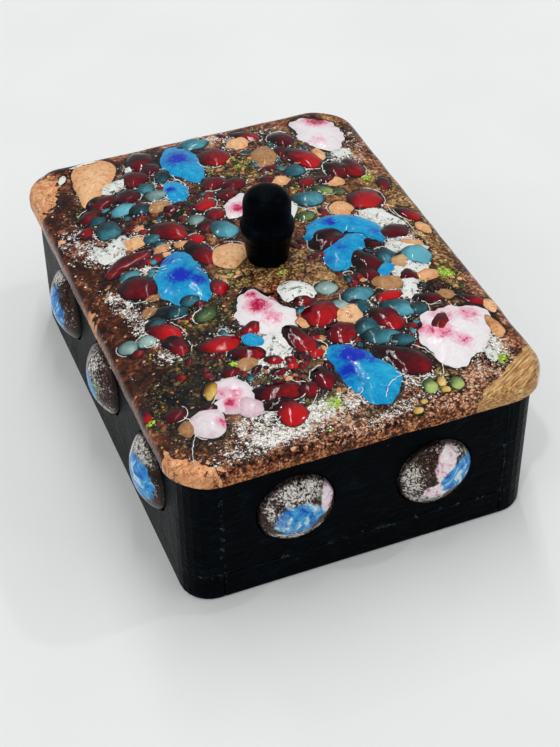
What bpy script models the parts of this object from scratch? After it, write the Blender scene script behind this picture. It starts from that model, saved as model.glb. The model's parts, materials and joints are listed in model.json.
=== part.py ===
"""Enamel box: a small painted wooden box with a lift-off enamelled copper lid.

Frame: +X to the right along the short front side, +Y to the back along the long sides,
+Z up. The origin is the middle of the underside. Every size is in metres.
"""

import math
import random

import bmesh
import bpy
from mathutils import Euler, Vector
from mathutils.bvhtree import BVHTree

# The wooden box
BOX_WIDTH = 0.0900
BOX_LENGTH = 0.1248
WALL_HEIGHT = 0.0420
WALL_THICKNESS = 0.0086
BASE_THICKNESS = 0.0078
CORNER_RADIUS = 0.0076
BOTTOM_EDGE_RADIUS = 0.0008
JOINT_GAP = 0.0003

# The enamelled copper lid
LID_THICKNESS = 0.0014
LID_SIDE_CLEARANCE = 0.0010
LID_INNER_EDGE_RADIUS = 0.0006
LID_SKIRT_DROP = 0.0044
LID_CORNER_SOFTNESS = 1.5
LID_CROWN = 0.0033
LID_CROWN_SQUARENESS = 4.0
LID_SEAT_GAP = 0.0003

# The fused glass lumps on the lid
LUMP_HEIGHT = 0.0009
LUMP_SIDES = 12
LUMP_RINGS = 4
LUMP_WANDER = 0.10

# The turned knob
KNOB_HEIGHT = 0.0203
KNOB_BASE_RADIUS = 0.00505
KNOB_COLLAR_RADIUS = 0.00685
KNOB_CAP_RADIUS = 0.0056
KNOB_COLLAR_START = 0.0080
KNOB_COLLAR_END = 0.0116
KNOB_CAP_STRAIGHT = 0.0032
KNOB_EDGE_RADIUS = 0.0006
KNOB_GAP = 0.0003
KNOB_SEAT_MARGIN = 0.0012

# The domed enamelled discs in the sides
DISC_DIAMETER = 0.0190
DISC_DOME_HEIGHT = 0.0045
DISC_RIM_PROUD = 0.0005
DISC_RECESS_DEPTH = 0.0018
DISC_CLEARANCE = 0.0005
DISC_HEIGHT_SHARE = 0.60
DISC_BACK_GAP = 0.0003
LONG_ROW_SPREAD = 0.945
LONG_ROW_SHIFT = -0.0036

# How far each disc stands from its even place along the row and upwards, as shares of
# its diameter, because the discs were set by hand
FRONT_WANDER = ((0.00, 0.01), (-0.03, -0.09))
LEFT_WANDER = ((-0.02, -0.02), (0.03, 0.04), (-0.02, 0.01))

# Facets of round pieces
TURN_STEPS = 28
DISC_STEPS = 24
DOME_RINGS = 5
RECESS_STEPS = 32
CORNER_STEPS = 6
EDGE_STEPS = 3
LID_WIDTH_STEPS = 6
LID_LENGTH_STEPS = 8

# Places worked out from the sizes above
HALF_WIDTH = BOX_WIDTH / 2
HALF_LENGTH = BOX_LENGTH / 2
INNER_HALF_WIDTH = HALF_WIDTH - WALL_THICKNESS
INNER_HALF_LENGTH = HALF_LENGTH - WALL_THICKNESS
SHORT_BOARD_HALF = INNER_HALF_WIDTH - JOINT_GAP
LID_OVERHANG = LID_THICKNESS + LID_SIDE_CLEARANCE
LID_HALF_WIDTH = HALF_WIDTH + LID_OVERHANG
LID_HALF_LENGTH = HALF_LENGTH + LID_OVERHANG
LID_CORNER_RADIUS = CORNER_RADIUS + LID_OVERHANG * LID_CORNER_SOFTNESS
LID_EDGE_RADIUS = LID_THICKNESS + LID_INNER_EDGE_RADIUS
LID_SHOULDER_Z = WALL_HEIGHT + LID_SEAT_GAP + LID_THICKNESS
LID_RIM_Z = LID_SHOULDER_Z - LID_SKIRT_DROP
LID_TOP_Z = LID_SHOULDER_Z + LID_CROWN
DISC_RADIUS = DISC_DIAMETER / 2
RECESS_RADIUS = DISC_RADIUS + DISC_CLEARANCE
DISC_CENTRE_Z = LID_RIM_Z * DISC_HEIGHT_SHARE

# Larger lumps on the lid: centre as shares of the lid's half width and half length,
# then length and width as shares of its half width, and the turn in degrees
LUMPS = (
    (-0.32, 0.86, 0.21, 0.17, 60),
    (-0.13, 0.79, 0.40, 0.23, 95),
    (-0.24, 0.58, 0.21, 0.14, 80),
    (0.08, 0.78, 0.20, 0.17, 60),
    (0.35, 0.69, 0.22, 0.14, 72),
    (0.55, 0.62, 0.25, 0.16, 110),
    (0.75, 0.79, 0.44, 0.30, 100),
    (0.76, 0.47, 0.23, 0.19, 80),
    (0.04, 0.55, 0.23, 0.13, 160),
    (-0.40, 0.32, 0.19, 0.15, 130),
    (-0.70, 0.20, 0.30, 0.14, 15),
    (-0.71, 0.04, 0.20, 0.19, 90),
    (-0.49, 0.02, 0.46, 0.30, 100),
    (-0.19, 0.07, 0.19, 0.18, 60),
    (0.73, 0.24, 0.20, 0.18, 40),
    (0.42, 0.31, 0.17, 0.16, 0),
    (0.46, 0.06, 0.42, 0.25, 160),
    (0.38, -0.14, 0.25, 0.19, 50),
    (0.76, -0.18, 0.18, 0.16, 60),
    (-0.70, -0.25, 0.21, 0.12, 125),
    (-0.20, -0.28, 0.42, 0.27, 95),
    (0.03, -0.24, 0.18, 0.17, 150),
    (0.07, -0.39, 0.19, 0.18, 0),
    (-0.11, -0.49, 0.19, 0.13, 100),
    (0.37, -0.49, 0.20, 0.14, 110),
    (0.46, -0.45, 0.18, 0.13, 140),
    (0.11, -0.73, 0.46, 0.27, 105),
    (0.34, -0.73, 0.27, 0.19, 130),
    (0.68, -0.66, 0.49, 0.38, 45),
    (-0.56, -0.68, 0.32, 0.21, 120),
    (-0.72, -0.76, 0.19, 0.16, 90),
    (-0.33, -0.83, 0.15, 0.14, 0),
)

COLOURS = {
    "painted_wood": ((0.012, 0.014, 0.016, 1.0), 0.42, 0.0),
    "enamel": ((0.110, 0.055, 0.038, 1.0), 0.22, 0.0),
    "disc_enamel": ((0.160, 0.230, 0.480, 1.0), 0.22, 0.0),
}


def clear_scene():
    """Remove every object that the scene starts with."""
    for old in list(bpy.data.objects):
        bpy.data.objects.remove(old, do_unlink=True)


def new_collection(name):
    """Make a collection and link it to the scene."""
    collection = bpy.data.collections.new(name)
    bpy.context.scene.collection.children.link(collection)
    return collection


def make_material(name, look):
    """Make a plain material with the given colour, roughness and metallic value."""
    colour, roughness, metallic = COLOURS[look]
    material = bpy.data.materials.new(name)
    material.use_nodes = True
    shader = material.node_tree.nodes["Principled BSDF"]
    shader.inputs["Base Color"].default_value = colour
    shader.inputs["Roughness"].default_value = roughness
    shader.inputs["Metallic"].default_value = metallic
    material.diffuse_color = colour
    return material


def add_object(name, mesh, collection, look=None):
    """Put a mesh into a collection as an object with its own material."""
    piece = bpy.data.objects.new(name, mesh)
    collection.objects.link(piece)
    if look:
        mesh.materials.clear()
        mesh.materials.append(make_material(name + "_finish", look))
    return piece


def block_mesh(name, low, high):
    """Make a block between two corners."""
    low = Vector(low)
    high = Vector(high)
    shape = bmesh.new()
    bmesh.ops.create_cube(shape, size=1.0)
    bmesh.ops.scale(shape, vec=high - low, verts=shape.verts)
    bmesh.ops.translate(shape, vec=(low + high) / 2, verts=shape.verts)
    mesh = bpy.data.meshes.new(name)
    shape.to_mesh(mesh)
    shape.free()
    return mesh


def round_edges(mesh, belongs, radius, steps):
    """Round the edges that pass the given test."""
    shape = bmesh.new()
    shape.from_mesh(mesh)
    edges = [edge for edge in shape.edges if belongs(edge)]
    bmesh.ops.bevel(
        shape, geom=edges, offset=radius, offset_type="OFFSET",
        segments=steps, profile=0.5, affect="EDGES", clamp_overlap=True,
    )
    shape.to_mesh(mesh)
    shape.free()


def near(value, target):
    """Say whether two coordinates are the same, to a hundredth of a millimetre."""
    return abs(value - target) < 0.00001


def disc_places(count, inner_half, spread, shift, wander):
    """Give each disc of a row its place along the board and its height."""
    pitch = 2 * inner_half / count * spread
    places = []
    for index in range(count):
        along, rise = wander[index]
        place = (index - (count - 1) / 2) * pitch + shift + along * DISC_DIAMETER
        places.append((place, DISC_CENTRE_Z + rise * DISC_DIAMETER))
    return places


def bore_recess(side_board, name, centre, outward, cutters):
    """Cut a flat-bottomed round recess into a board's outer face."""
    over = DISC_RECESS_DEPTH
    shape = bmesh.new()
    bmesh.ops.create_cone(
        shape, cap_ends=True, segments=RECESS_STEPS,
        radius1=RECESS_RADIUS, radius2=RECESS_RADIUS, depth=DISC_RECESS_DEPTH + over,
    )
    mesh = bpy.data.meshes.new(name)
    shape.to_mesh(mesh)
    shape.free()
    cutter = add_object(name, mesh, cutters)
    cutter.rotation_euler = outward.to_track_quat("Z", "Y").to_euler()
    cutter.location = centre + outward * (over - DISC_RECESS_DEPTH) / 2
    cutter.display_type = "WIRE"
    cutter.hide_render = True
    cut = side_board.modifiers.new(name, "BOOLEAN")
    cut.operation = "DIFFERENCE"
    cut.solver = "EXACT"
    cut.object = cutter


def turned_object(name, profile, steps, collection, look):
    """Turn a profile, listed from its top on the axis down its outer side, about Z."""
    mesh = bpy.data.meshes.new(name)
    points = [(radius, 0.0, height) for radius, height in profile]
    edges = [(index, index + 1) for index in range(len(points) - 1)]
    mesh.from_pydata(points, edges, [])
    piece = add_object(name, mesh, collection, look)
    screw = piece.modifiers.new("Turn", "SCREW")
    screw.axis = "Z"
    screw.steps = steps
    screw.render_steps = steps
    screw.use_merge_vertices = True
    screw.merge_threshold = 0.00001
    screw.use_smooth_shade = True
    return piece


def arc(centre, radii, start, end, steps):
    """Give points along an arc of an ellipse, angles in degrees from +X."""
    points = []
    for index in range(steps + 1):
        angle = math.radians(start + (end - start) * index / steps)
        points.append((centre[0] + radii[0] * math.cos(angle), centre[1] + radii[1] * math.sin(angle)))
    return points


def outer_form(cutters):
    """Make the glued-up box's outer form, with its corners and bottom edges rounded off."""
    low = (-HALF_WIDTH, -HALF_LENGTH, 0.0)
    high = (HALF_WIDTH, HALF_LENGTH, WALL_HEIGHT)
    mesh = block_mesh("outer_form", low, high)

    def is_corner(edge):
        return not near(edge.verts[0].co.z, edge.verts[1].co.z)

    def is_bottom(edge):
        return near(edge.verts[0].co.z, 0.0) and near(edge.verts[1].co.z, 0.0)

    round_edges(mesh, is_corner, CORNER_RADIUS, CORNER_STEPS)
    round_edges(mesh, is_bottom, BOTTOM_EDGE_RADIUS, EDGE_STEPS)
    form = add_object("outer_form", mesh, cutters)
    form.display_type = "WIRE"
    form.hide_render = True
    return form


def board(name, low, high, form, collection):
    """Make a board between two corners and round it off where it meets the outer form."""
    piece = add_object(name, block_mesh(name, low, high), collection, "painted_wood")
    trim = piece.modifiers.new("Rounded off", "BOOLEAN")
    trim.operation = "INTERSECT"
    trim.solver = "EXACT"
    trim.object = form
    return piece


def long_side(name, side, form, collection):
    """Make one long side board, whose ends show at the front and back corners."""
    inner = side * INNER_HALF_WIDTH
    beyond = side * (HALF_WIDTH + WALL_THICKNESS)
    low = (min(inner, beyond), -BOX_LENGTH, -WALL_THICKNESS)
    high = (max(inner, beyond), BOX_LENGTH, WALL_HEIGHT + WALL_THICKNESS)
    return board(name, low, high, form, collection)


def short_side(name, side, form, collection):
    """Make one short side board, which stands on the base between the long sides."""
    inner = side * INNER_HALF_LENGTH
    beyond = side * (HALF_LENGTH + WALL_THICKNESS)
    low = (-SHORT_BOARD_HALF, min(inner, beyond), BASE_THICKNESS + JOINT_GAP)
    high = (SHORT_BOARD_HALF, max(inner, beyond), WALL_HEIGHT + WALL_THICKNESS)
    return board(name, low, high, form, collection)


def base_board(form, collection):
    """Make the bottom board, whose ends show below the short sides."""
    low = (-SHORT_BOARD_HALF, -BOX_LENGTH, -WALL_THICKNESS)
    high = (SHORT_BOARD_HALF, BOX_LENGTH, BASE_THICKNESS)
    return board("base_board", low, high, form, collection)


def enamel_disc(name, centre, outward, collection):
    """Make one domed disc and seat it in its recess."""
    hidden = DISC_RECESS_DEPTH - DISC_BACK_GAP
    rim = DISC_RIM_PROUD
    dome_radius = (DISC_RADIUS ** 2 + DISC_DOME_HEIGHT ** 2) / (2 * DISC_DOME_HEIGHT)
    reach = math.degrees(math.asin(min(1.0, DISC_RADIUS / dome_radius)))
    if DISC_DOME_HEIGHT > DISC_RADIUS:
        reach = 180 - reach
    centre_height = rim + DISC_DOME_HEIGHT - dome_radius
    dome = arc((0.0, centre_height), (dome_radius, dome_radius), 90, 90 - reach, DOME_RINGS)
    dome[0] = (0.0, rim + DISC_DOME_HEIGHT)
    dome[-1] = (DISC_RADIUS, rim)
    profile = dome + [(DISC_RADIUS, -hidden), (0.0, -hidden)]
    piece = turned_object(name, profile, DISC_STEPS, collection, "disc_enamel")
    piece.rotation_euler = outward.to_track_quat("Z", "Y").to_euler()
    piece.location = centre
    return piece


def side_row(side_board, label, outward, places, collection, cutters):
    """Bore a board's recesses and set a disc in each."""
    for index, (along, height) in enumerate(places, start=1):
        if outward.x:
            centre = Vector((outward.x * HALF_WIDTH, along, height))
        else:
            centre = Vector((along, outward.y * HALF_LENGTH, height))
        bore_recess(side_board, "recess_%s_%d" % (label, index), centre, outward, cutters)
        enamel_disc("cabochon_%s_%d" % (label, index), centre, outward, collection)


def lid_inset(x, y):
    """Give the distance from a point of the lid's plan to its outline."""
    beyond_x = abs(x) - (LID_HALF_WIDTH - LID_CORNER_RADIUS)
    beyond_y = abs(y) - (LID_HALF_LENGTH - LID_CORNER_RADIUS)
    outside = math.hypot(max(beyond_x, 0.0), max(beyond_y, 0.0))
    inside = min(max(beyond_x, beyond_y), 0.0)
    return LID_CORNER_RADIUS - outside - inside


def lid_height(x, y):
    """Give the height of the lid's outer face: a rounded edge, then a low crown."""
    share = min(1.0, max(0.0, lid_inset(x, y) / LID_EDGE_RADIUS))
    edge = LID_EDGE_RADIUS * (1 - math.sqrt(max(0.0, 1 - (1 - share) ** 2)))
    span_x = abs(x) / (LID_HALF_WIDTH - LID_EDGE_RADIUS)
    span_y = abs(y) / (LID_HALF_LENGTH - LID_EDGE_RADIUS)
    power = LID_CROWN_SQUARENESS
    reach = (span_x ** power + span_y ** power) ** (1 / power)
    seat = (KNOB_BASE_RADIUS + KNOB_SEAT_MARGIN) / (LID_HALF_WIDTH - LID_EDGE_RADIUS)
    reach = min(1.0, max(0.0, (reach - seat) / (1 - seat)))
    return LID_SHOULDER_Z - edge + LID_CROWN * (1 - reach ** 2)


def lid_outline(inset):
    """Give points round the lid's plan, moved inwards by an inset."""
    radius = max(LID_CORNER_RADIUS - inset, LID_OVERHANG)
    half_x = LID_HALF_WIDTH - inset - radius
    half_y = LID_HALF_LENGTH - inset - radius
    points = []
    corners = (
        (half_x, half_y, 0), (-half_x, half_y, 90), (-half_x, -half_y, 180), (half_x, -half_y, 270),
    )
    for index, (corner_x, corner_y, start) in enumerate(corners):
        turn = arc((corner_x, corner_y), (radius, radius), start, start + 90, CORNER_STEPS)
        points.extend(turn)
        next_x, next_y, next_start = corners[(index + 1) % 4]
        after = arc((next_x, next_y), (radius, radius), next_start, next_start, 1)[0]
        steps = LID_WIDTH_STEPS if index % 2 == 0 else LID_LENGTH_STEPS
        for step in range(1, steps):
            part = step / steps
            last = turn[-1]
            points.append((last[0] + (after[0] - last[0]) * part, last[1] + (after[1] - last[1]) * part))
    return points


def lid_face_mesh():
    """Make the lid's outer face as rings from the rim to the knob's seat."""
    rings = []
    rim = lid_outline(0.0)
    rings.append([(x, y, LID_RIM_Z) for x, y in rim])
    for share in (0.0, 0.15, 0.50, 1.0):
        ring = lid_outline(LID_EDGE_RADIUS * share)
        rings.append([(x, y, lid_height(x, y)) for x, y in ring])
    edge = lid_outline(LID_EDGE_RADIUS)
    seat_radius = KNOB_BASE_RADIUS + KNOB_SEAT_MARGIN
    seat = []
    for x, y in edge:
        angle = math.atan2(y, x)
        seat.append((seat_radius * math.cos(angle), seat_radius * math.sin(angle)))
    for share in (0.15, 0.33, 0.54, 0.77, 1.0):
        ring = []
        for outer, inner in zip(edge, seat):
            x = outer[0] + (inner[0] - outer[0]) * share
            y = outer[1] + (inner[1] - outer[1]) * share
            ring.append((x, y, lid_height(x, y)))
        rings.append(ring)
    shape = bmesh.new()
    rows = [[shape.verts.new(point) for point in ring] for ring in rings]
    count = len(rim)
    for lower, upper in zip(rows[:-1], rows[1:]):
        for index in range(count):
            after = (index + 1) % count
            shape.faces.new((lower[index], lower[after], upper[after], upper[index]))
    shape.faces.new(rows[-1])
    bmesh.ops.recalc_face_normals(shape, faces=shape.faces)
    mesh = bpy.data.meshes.new("lid_face")
    shape.to_mesh(mesh)
    shape.free()
    return mesh


def lump_mesh(name, length, width, seed):
    """Make one melted lump of glass: a low pebble with a wandering outline."""
    draw = random.Random(seed)
    waves = [(2, draw.uniform(0, 6.28)), (3, draw.uniform(0, 6.28)), (5, draw.uniform(0, 6.28))]
    shape = bmesh.new()
    bmesh.ops.create_uvsphere(shape, u_segments=LUMP_SIDES, v_segments=LUMP_RINGS, radius=1.0)
    for vert in shape.verts:
        angle = math.atan2(vert.co.y, vert.co.x)
        swell = 1 + sum(LUMP_WANDER / order * math.cos(order * angle + phase) for order, phase in waves)
        vert.co.x *= length / 2 * swell
        vert.co.y *= width / 2 * swell
        vert.co.z *= LUMP_HEIGHT if vert.co.z > 0 else LID_THICKNESS / 2
    mesh = bpy.data.meshes.new(name)
    shape.to_mesh(mesh)
    shape.free()
    return mesh


def lid_plate(collection, cutters):
    """Make the lid: a dished plate with a down-turned rim and the larger lumps on it."""
    face = lid_face_mesh()
    finder = BVHTree.FromPolygons([v.co for v in face.vertices], [p.vertices for p in face.polygons])
    plate = add_object("lid_plate", face, collection, "enamel")
    shell = plate.modifiers.new("Thickness", "SOLIDIFY")
    shell.thickness = LID_THICKNESS
    shell.offset = -1.0
    shell.use_even_offset = True
    for index, (share_x, share_y, length, width, turn) in enumerate(LUMPS):
        x = share_x * LID_HALF_WIDTH
        y = share_y * LID_HALF_LENGTH
        name = "lump_%02d" % index
        mesh = lump_mesh(name, length * LID_HALF_WIDTH, width * LID_HALF_WIDTH, index)
        lump = add_object(name, mesh, cutters)
        place, normal, _, _ = finder.ray_cast(Vector((x, y, 1.0)), Vector((0.0, 0.0, -1.0)))
        tilt = Vector((0.0, 0.0, 1.0)).rotation_difference(normal)
        spin = Euler((0.0, 0.0, math.radians(turn))).to_quaternion()
        lump.rotation_mode = "QUATERNION"
        lump.rotation_quaternion = tilt @ spin
        lump.location = place
        lump.display_type = "WIRE"
        lump.hide_render = True
        fuse = plate.modifiers.new(name, "BOOLEAN")
        fuse.operation = "UNION"
        fuse.solver = "EXACT"
        fuse.object = lump
    return plate


def knob(collection):
    """Make the turned knob: a flaring stem, a collar and a smaller domed cap."""
    cap_start = KNOB_COLLAR_END
    dome_start = cap_start + KNOB_CAP_STRAIGHT
    dome_height = KNOB_HEIGHT - dome_start
    edge = KNOB_EDGE_RADIUS
    profile = arc((0.0, dome_start), (KNOB_CAP_RADIUS, dome_height), 90, 0, 7)
    profile[0] = (0.0, KNOB_HEIGHT)
    profile.append((KNOB_CAP_RADIUS, cap_start))
    profile += arc((KNOB_COLLAR_RADIUS - edge, cap_start - edge), (edge, edge), 90, 0, 2)
    profile.append((KNOB_COLLAR_RADIUS, KNOB_COLLAR_START))
    flare = KNOB_COLLAR_RADIUS - KNOB_BASE_RADIUS
    for share in (0.25, 0.55, 0.80):
        radius = KNOB_COLLAR_RADIUS - flare * math.sin(share * math.pi / 2)
        profile.append((radius, KNOB_COLLAR_START * (1 - share)))
    profile.append((KNOB_BASE_RADIUS, 0.0))
    profile.append((0.0, 0.0))
    piece = turned_object("knob", profile, TURN_STEPS, collection, "painted_wood")
    piece.location = (0.0, 0.0, LID_TOP_Z + KNOB_GAP)
    return piece


def build():
    """Build the box, its discs, its lid and its knob."""
    clear_scene()
    collection = new_collection("enamel_box")
    cutters = new_collection("cutters")
    form = outer_form(cutters)
    base_board(form, collection)
    short_places = disc_places(2, SHORT_BOARD_HALF, 1.0, 0.0, FRONT_WANDER)
    long_places = disc_places(3, INNER_HALF_LENGTH, LONG_ROW_SPREAD, LONG_ROW_SHIFT, LEFT_WANDER)
    for label, side in (("front", -1), ("back", 1)):
        side_board = short_side("short_side_" + label, side, form, collection)
        side_row(side_board, label, Vector((0, side, 0)), short_places, collection, cutters)
    for label, side in (("left", -1), ("right", 1)):
        side_board = long_side("long_side_" + label, side, form, collection)
        side_row(side_board, label, Vector((side, 0, 0)), long_places, collection, cutters)
    lid_plate(collection, cutters)
    knob(collection)
    bpy.context.view_layer.update()


build()
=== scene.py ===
"""Looks of the enamel box: finishes, fused glass, fine relief, camera and light.

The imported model's frame is in metres: +X to the right along the short front side, +Y to the
back, +Z up, origin in the middle of the underside. The tables of glass and of the ground's
zones are in millimetres on the lid, seen from above.
"""

import json
import math
import random

import bmesh
import bpy
import numpy as np
from mathutils import Matrix, Vector, noise


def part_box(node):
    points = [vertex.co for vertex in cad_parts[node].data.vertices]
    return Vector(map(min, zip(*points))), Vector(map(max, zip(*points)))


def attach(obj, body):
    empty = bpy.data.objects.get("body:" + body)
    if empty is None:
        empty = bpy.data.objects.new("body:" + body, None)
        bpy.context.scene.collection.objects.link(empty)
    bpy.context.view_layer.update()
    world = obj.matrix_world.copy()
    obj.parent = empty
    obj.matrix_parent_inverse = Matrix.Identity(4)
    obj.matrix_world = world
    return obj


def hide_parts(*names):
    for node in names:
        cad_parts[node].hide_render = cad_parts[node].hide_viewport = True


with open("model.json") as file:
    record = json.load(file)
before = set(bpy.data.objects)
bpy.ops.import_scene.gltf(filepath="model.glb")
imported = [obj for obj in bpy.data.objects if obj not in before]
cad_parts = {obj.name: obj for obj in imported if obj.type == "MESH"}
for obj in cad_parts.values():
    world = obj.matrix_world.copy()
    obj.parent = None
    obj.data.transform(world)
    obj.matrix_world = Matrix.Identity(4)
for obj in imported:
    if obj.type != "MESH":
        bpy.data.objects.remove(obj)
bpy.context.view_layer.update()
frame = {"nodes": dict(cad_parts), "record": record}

MM = 0.001

# Camera, worked out from the box's edges in the photo
CAMERA_PLACE = Vector((-0.117946, -0.305751, 0.294321))
CAMERA_YAW = 21.58
CAMERA_PITCH = 41.135
CAMERA_ROLL = -0.606
CAMERA_FOCAL_PIXELS = 1627.7
PHOTO_HEIGHT = 747
SENSOR_WIDTH = 36.0

# Floor and the thin strip light overhead, along the view's direction
FLOOR_SIZE = 3.0
STRIP_PLACE = Vector((0.13, 0.33, 0.90))
STRIP_WIDTH = 0.010
STRIP_LENGTH = 1.0
STRIP_POWER = 2.8

# Studio light, and the broad and the small square lights: name, place, width and power
STUDIO_COLOUR = (0.93, 0.95, 0.95, 1.0)
STUDIO_STRENGTH = 0.52
LIGHTS = (
    ("key", (-1.1, -0.5, 0.95), 1.3, 4.0),
    ("fill", (1.2, -0.6, 1.05), 1.3, 2.4),
    ("spark_front", (-0.30, -0.40, 0.95), 0.036, 1.2),
    ("spark_right", (0.62, -0.10, 0.80), 0.028, 0.7),
    ("spark_back", (-0.25, 0.70, 0.85), 0.018, 0.25),
)

# Lid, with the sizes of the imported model
LID_LOW, LID_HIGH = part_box("lid_plate")
LID_HALF_X = LID_HIGH.x
LID_HALF_Y = LID_HIGH.y
LID_RIM_Z = LID_LOW.z
LID_THICKNESS = 0.0014
LID_EDGE_RADIUS = 0.0020
LID_CORNER_RADIUS = 0.0112
LID_SHOULDER_Z = LID_RIM_Z + 0.0044
LID_CROWN = 0.0033
LID_CROWN_SQUARENESS = 4.0
KNOB_SEAT_RADIUS = 0.00625

# Joints between the boards, filled with paint
BASE_JOINT_Z = 0.00795
POST_JOINT_X = 0.03625
POST_JOINT_TOP = 0.0415
BOARD_LOW, BOARD_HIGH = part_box("base_board")
BOARD_CORNER_RADIUS = 0.0076
PAINT_RIDGE_HALF = 0.00042
PAINT_RIDGE_HEIGHT = 0.00011
PAINT_SINK = 0.00003
PAINT_STEP = 0.0005

# Turned knob: radius and height of its outline, from its foot to the start of the cap's dome
KNOB_LOW, KNOB_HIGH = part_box("knob")
KNOB_OUTLINE = (
    (0.0, 0.0), (0.00490, 0.0), (0.00520, 0.0002), (0.00530, 0.0006), (0.00545, 0.0020), (0.00580, 0.0046),
    (0.00615, 0.0068), (0.00640, 0.0079), (0.00666, 0.0084), (0.00682, 0.0090), (0.00685, 0.0100),
    (0.00672, 0.0108), (0.00640, 0.0114), (0.00610, 0.0117), (0.00603, 0.0122), (0.00604, 0.0140),
)
KNOB_DOME_START = 0.0160
KNOB_DOME_RADIUS = 0.00604
KNOB_SEGMENTS = 72
KNOB_UNEVEN = 0.010

# Mesh of the lid's ground
GROUND_STEP = 0.00056
EDGE_STEP = 0.00029
EDGE_BAND = 0.0026
GROUND_WAVE = 0.00009
EDGE_WAVE = 0.00030
COPPER_CREASE = 0.00045
EDGE_WAVE_BAND = 0.0050
# Width in mm of the shiny band along the far sides
FAR_SIDE_BAND = 4.0
SKIRT_ROWS = 6

# Fused glass
GLASS_SEED = 11
GLASS_HEIGHT = 0.0011
GLASS_HEIGHT_SHARE = 0.26
GLASS_SINK = 0.00008
DROP_EGG = 0.16
DROP_BEND = 0.10
DROP_SWELL = 1.12
DROP_WOBBLE = 0.09
PILE_SHARE = 0.65
GLASS_SEGMENTS = 36
GLASS_RINGS = 9
RUN_STEPS = 44
RUN_ACROSS = 22
RUN_END_ROWS = 9
RUN_WOBBLE = 0.16
RUN_MOST_SLOPE = 0.85
MELT_SEGMENTS = 120
MELT_RINGS = 13
MELT_HEIGHT = GLASS_HEIGHT * 1.15
MELT_UNEVEN = 0.00014
# Wobble of a melt's outline: scale and size of each wave, and how ragged each family is
MELT_WOBBLES = ((1.7, 0.17), (4.1, 0.13), (9.0, 0.02))
MELT_RAGGED = {"pinkwhite": 1.0, "blue": 0.7, "white": 2.2, "peach": 0.35}
# Painted light in the glass: the direction on the lid towards which each piece is painted lighter, which is
# its side away from the lamps, and the most of it, in shares of the piece's size
PAINTED_LIGHT_DIRECTION = (0.30, -0.95)
PAINTED_LIGHT_LIMIT = 1.5
MERGE_DISTANCE = 0.000001

# Ground zones: x, y, half length, half width, turn in degrees, strength
DARK_ZONES = (
    (-28, -34, 14, 7, 10, 1.0), (-36, -42, 10, 8, 0, 0.9), (-27, -11, 9, 4, 170, 1.0),
    (-14, 54, 7, 6, 60, 1.0), (-40, 46, 2, 7, 10, 0.3), (-20, -50, 6, 6, 0, 0.7),
    (-30, 34, 8, 7, 0, 0.6), (24, 46, 6, 7, 0, 0.5), (-22, 38, 8, 4, 20, 0.7),
    (21, -14, 7, 6, 0, 0.8), (14, -40, 9, 6, 160, 0.8), (-36, -53, 7, 3, 0, 0.6),
    (-13, 28, 9, 6, 0, 0.7), (-40, -28, 3, 6, 0, 0.4), (5, -60, 8, 2, 0, 0.5),
    (-28, 38, 11, 8, 0, 0.8), (-22, 22, 12, 7, 0, 0.7), (-27, 2, 10, 10, 0, 0.6),
    (26, 36, 12, 8, 0, 0.6), (16, -30, 12, 9, 0, 0.9), (32, -27, 10, 5, 0, 0.7),
    (-22, -26, 14, 6, 0, 0.9), (2, -34, 12, 8, 0, 0.6), (-12, -48, 10, 6, 0, 0.8),
    (22, -4, 12, 9, 0, 0.6), (-2, 34, 9, 7, 0, 0.5), (31, 3, 9, 9, 0, 0.4),
    (-38, -44, 6, 6, 0, 0.5),
)
PACKED_ZONES = ((-20, 34, 16, 16, 0, 1.0), (14, 42, 18, 14, 0, 1.0), (-22, 6, 14, 16, 0, 1.0),
                (22, -12, 14, 22, 0, 1.0), (-10, -34, 18, 14, 0, 1.0), (14, -36, 16, 10, 0, 1.0))
WHITE_ZONES = (
    (-41, 27, 5, 8, 0, 0.8), (-39, 20, 4, 5, 0, 1.0), (-34, 19, 5, 3, 62, 1.7),
    (-39, -2, 2.5, 8, 15, 1.0), (-37, -12, 2.5, 9, 10, 1.1), (-34, -24, 4, 3, 20, 1.0),
    (-16, -57, 17, 4, 10, 1.25), (-24, -55, 6, 5, 30, 1.1), (-13, -36, 6, 4, 20, 1.4),
    (-11, -30, 4, 3, 0, 1.5), (-21, -23, 4, 2, 40, 0.8), (33, 7, 6, 4, 120, 1.6),
    (35, -5, 4, 7, 0, 1.6), (29, -17, 2.5, 6, 160, 1.4), (26, -25, 4, 5, 20, 1.0),
    (38, -48, 3.5, 6, 0, 1.3), (16, -54, 5, 3, 0, 1.0), (34, -54, 7, 4, 20, 0.6),
    (37, 37, 5, 4, 0, 1.0), (7, 60, 6, 3, 0, 0.9), (-27, 25, 4, 4, 0, 0.7),
    (-3, -55, 8, 3, 0, 0.9), (8, -61, 14, 2, 14, 0.75), (24, 35, 4, 4, 40, 0.8), (18, 58, 8, 3, 0, 0.6),
    (-13, 40, 5, 7, 0, 0.8), (-24, -47, 3, 4, 0, 1.0), (20, 17, 6, 3, 150, 0.6),
    (-31, 8, 3, 4, 60, 1.0), (43, 46, 2.5, 6, 0, 0.6),
)
OLIVE_ZONES = (
    (6, 43, 9, 8, 0, 1.0), (-22, -15, 9, 5, 0, 1.0), (-12, -4, 7, 5, 20, 0.9),
    (18, 27, 7, 6, 0, 0.8), (-28, 29, 8, 7, 0, 0.4), (-13, -42, 8, 6, 0, 0.9),
    (40, -22, 3, 8, 0, 0.9), (20, 55, 10, 5, 0, 0.7), (20, -55, 5, 5, 0, 0.7),
    (-20, -30, 6, 5, 0, 0.6), (-10, 24, 5, 9, 0, 0.6), (-44, -43, 2, 4, 0, 1.0),
    (14, 14, 4, 4, 0, 0.7),
)
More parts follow.
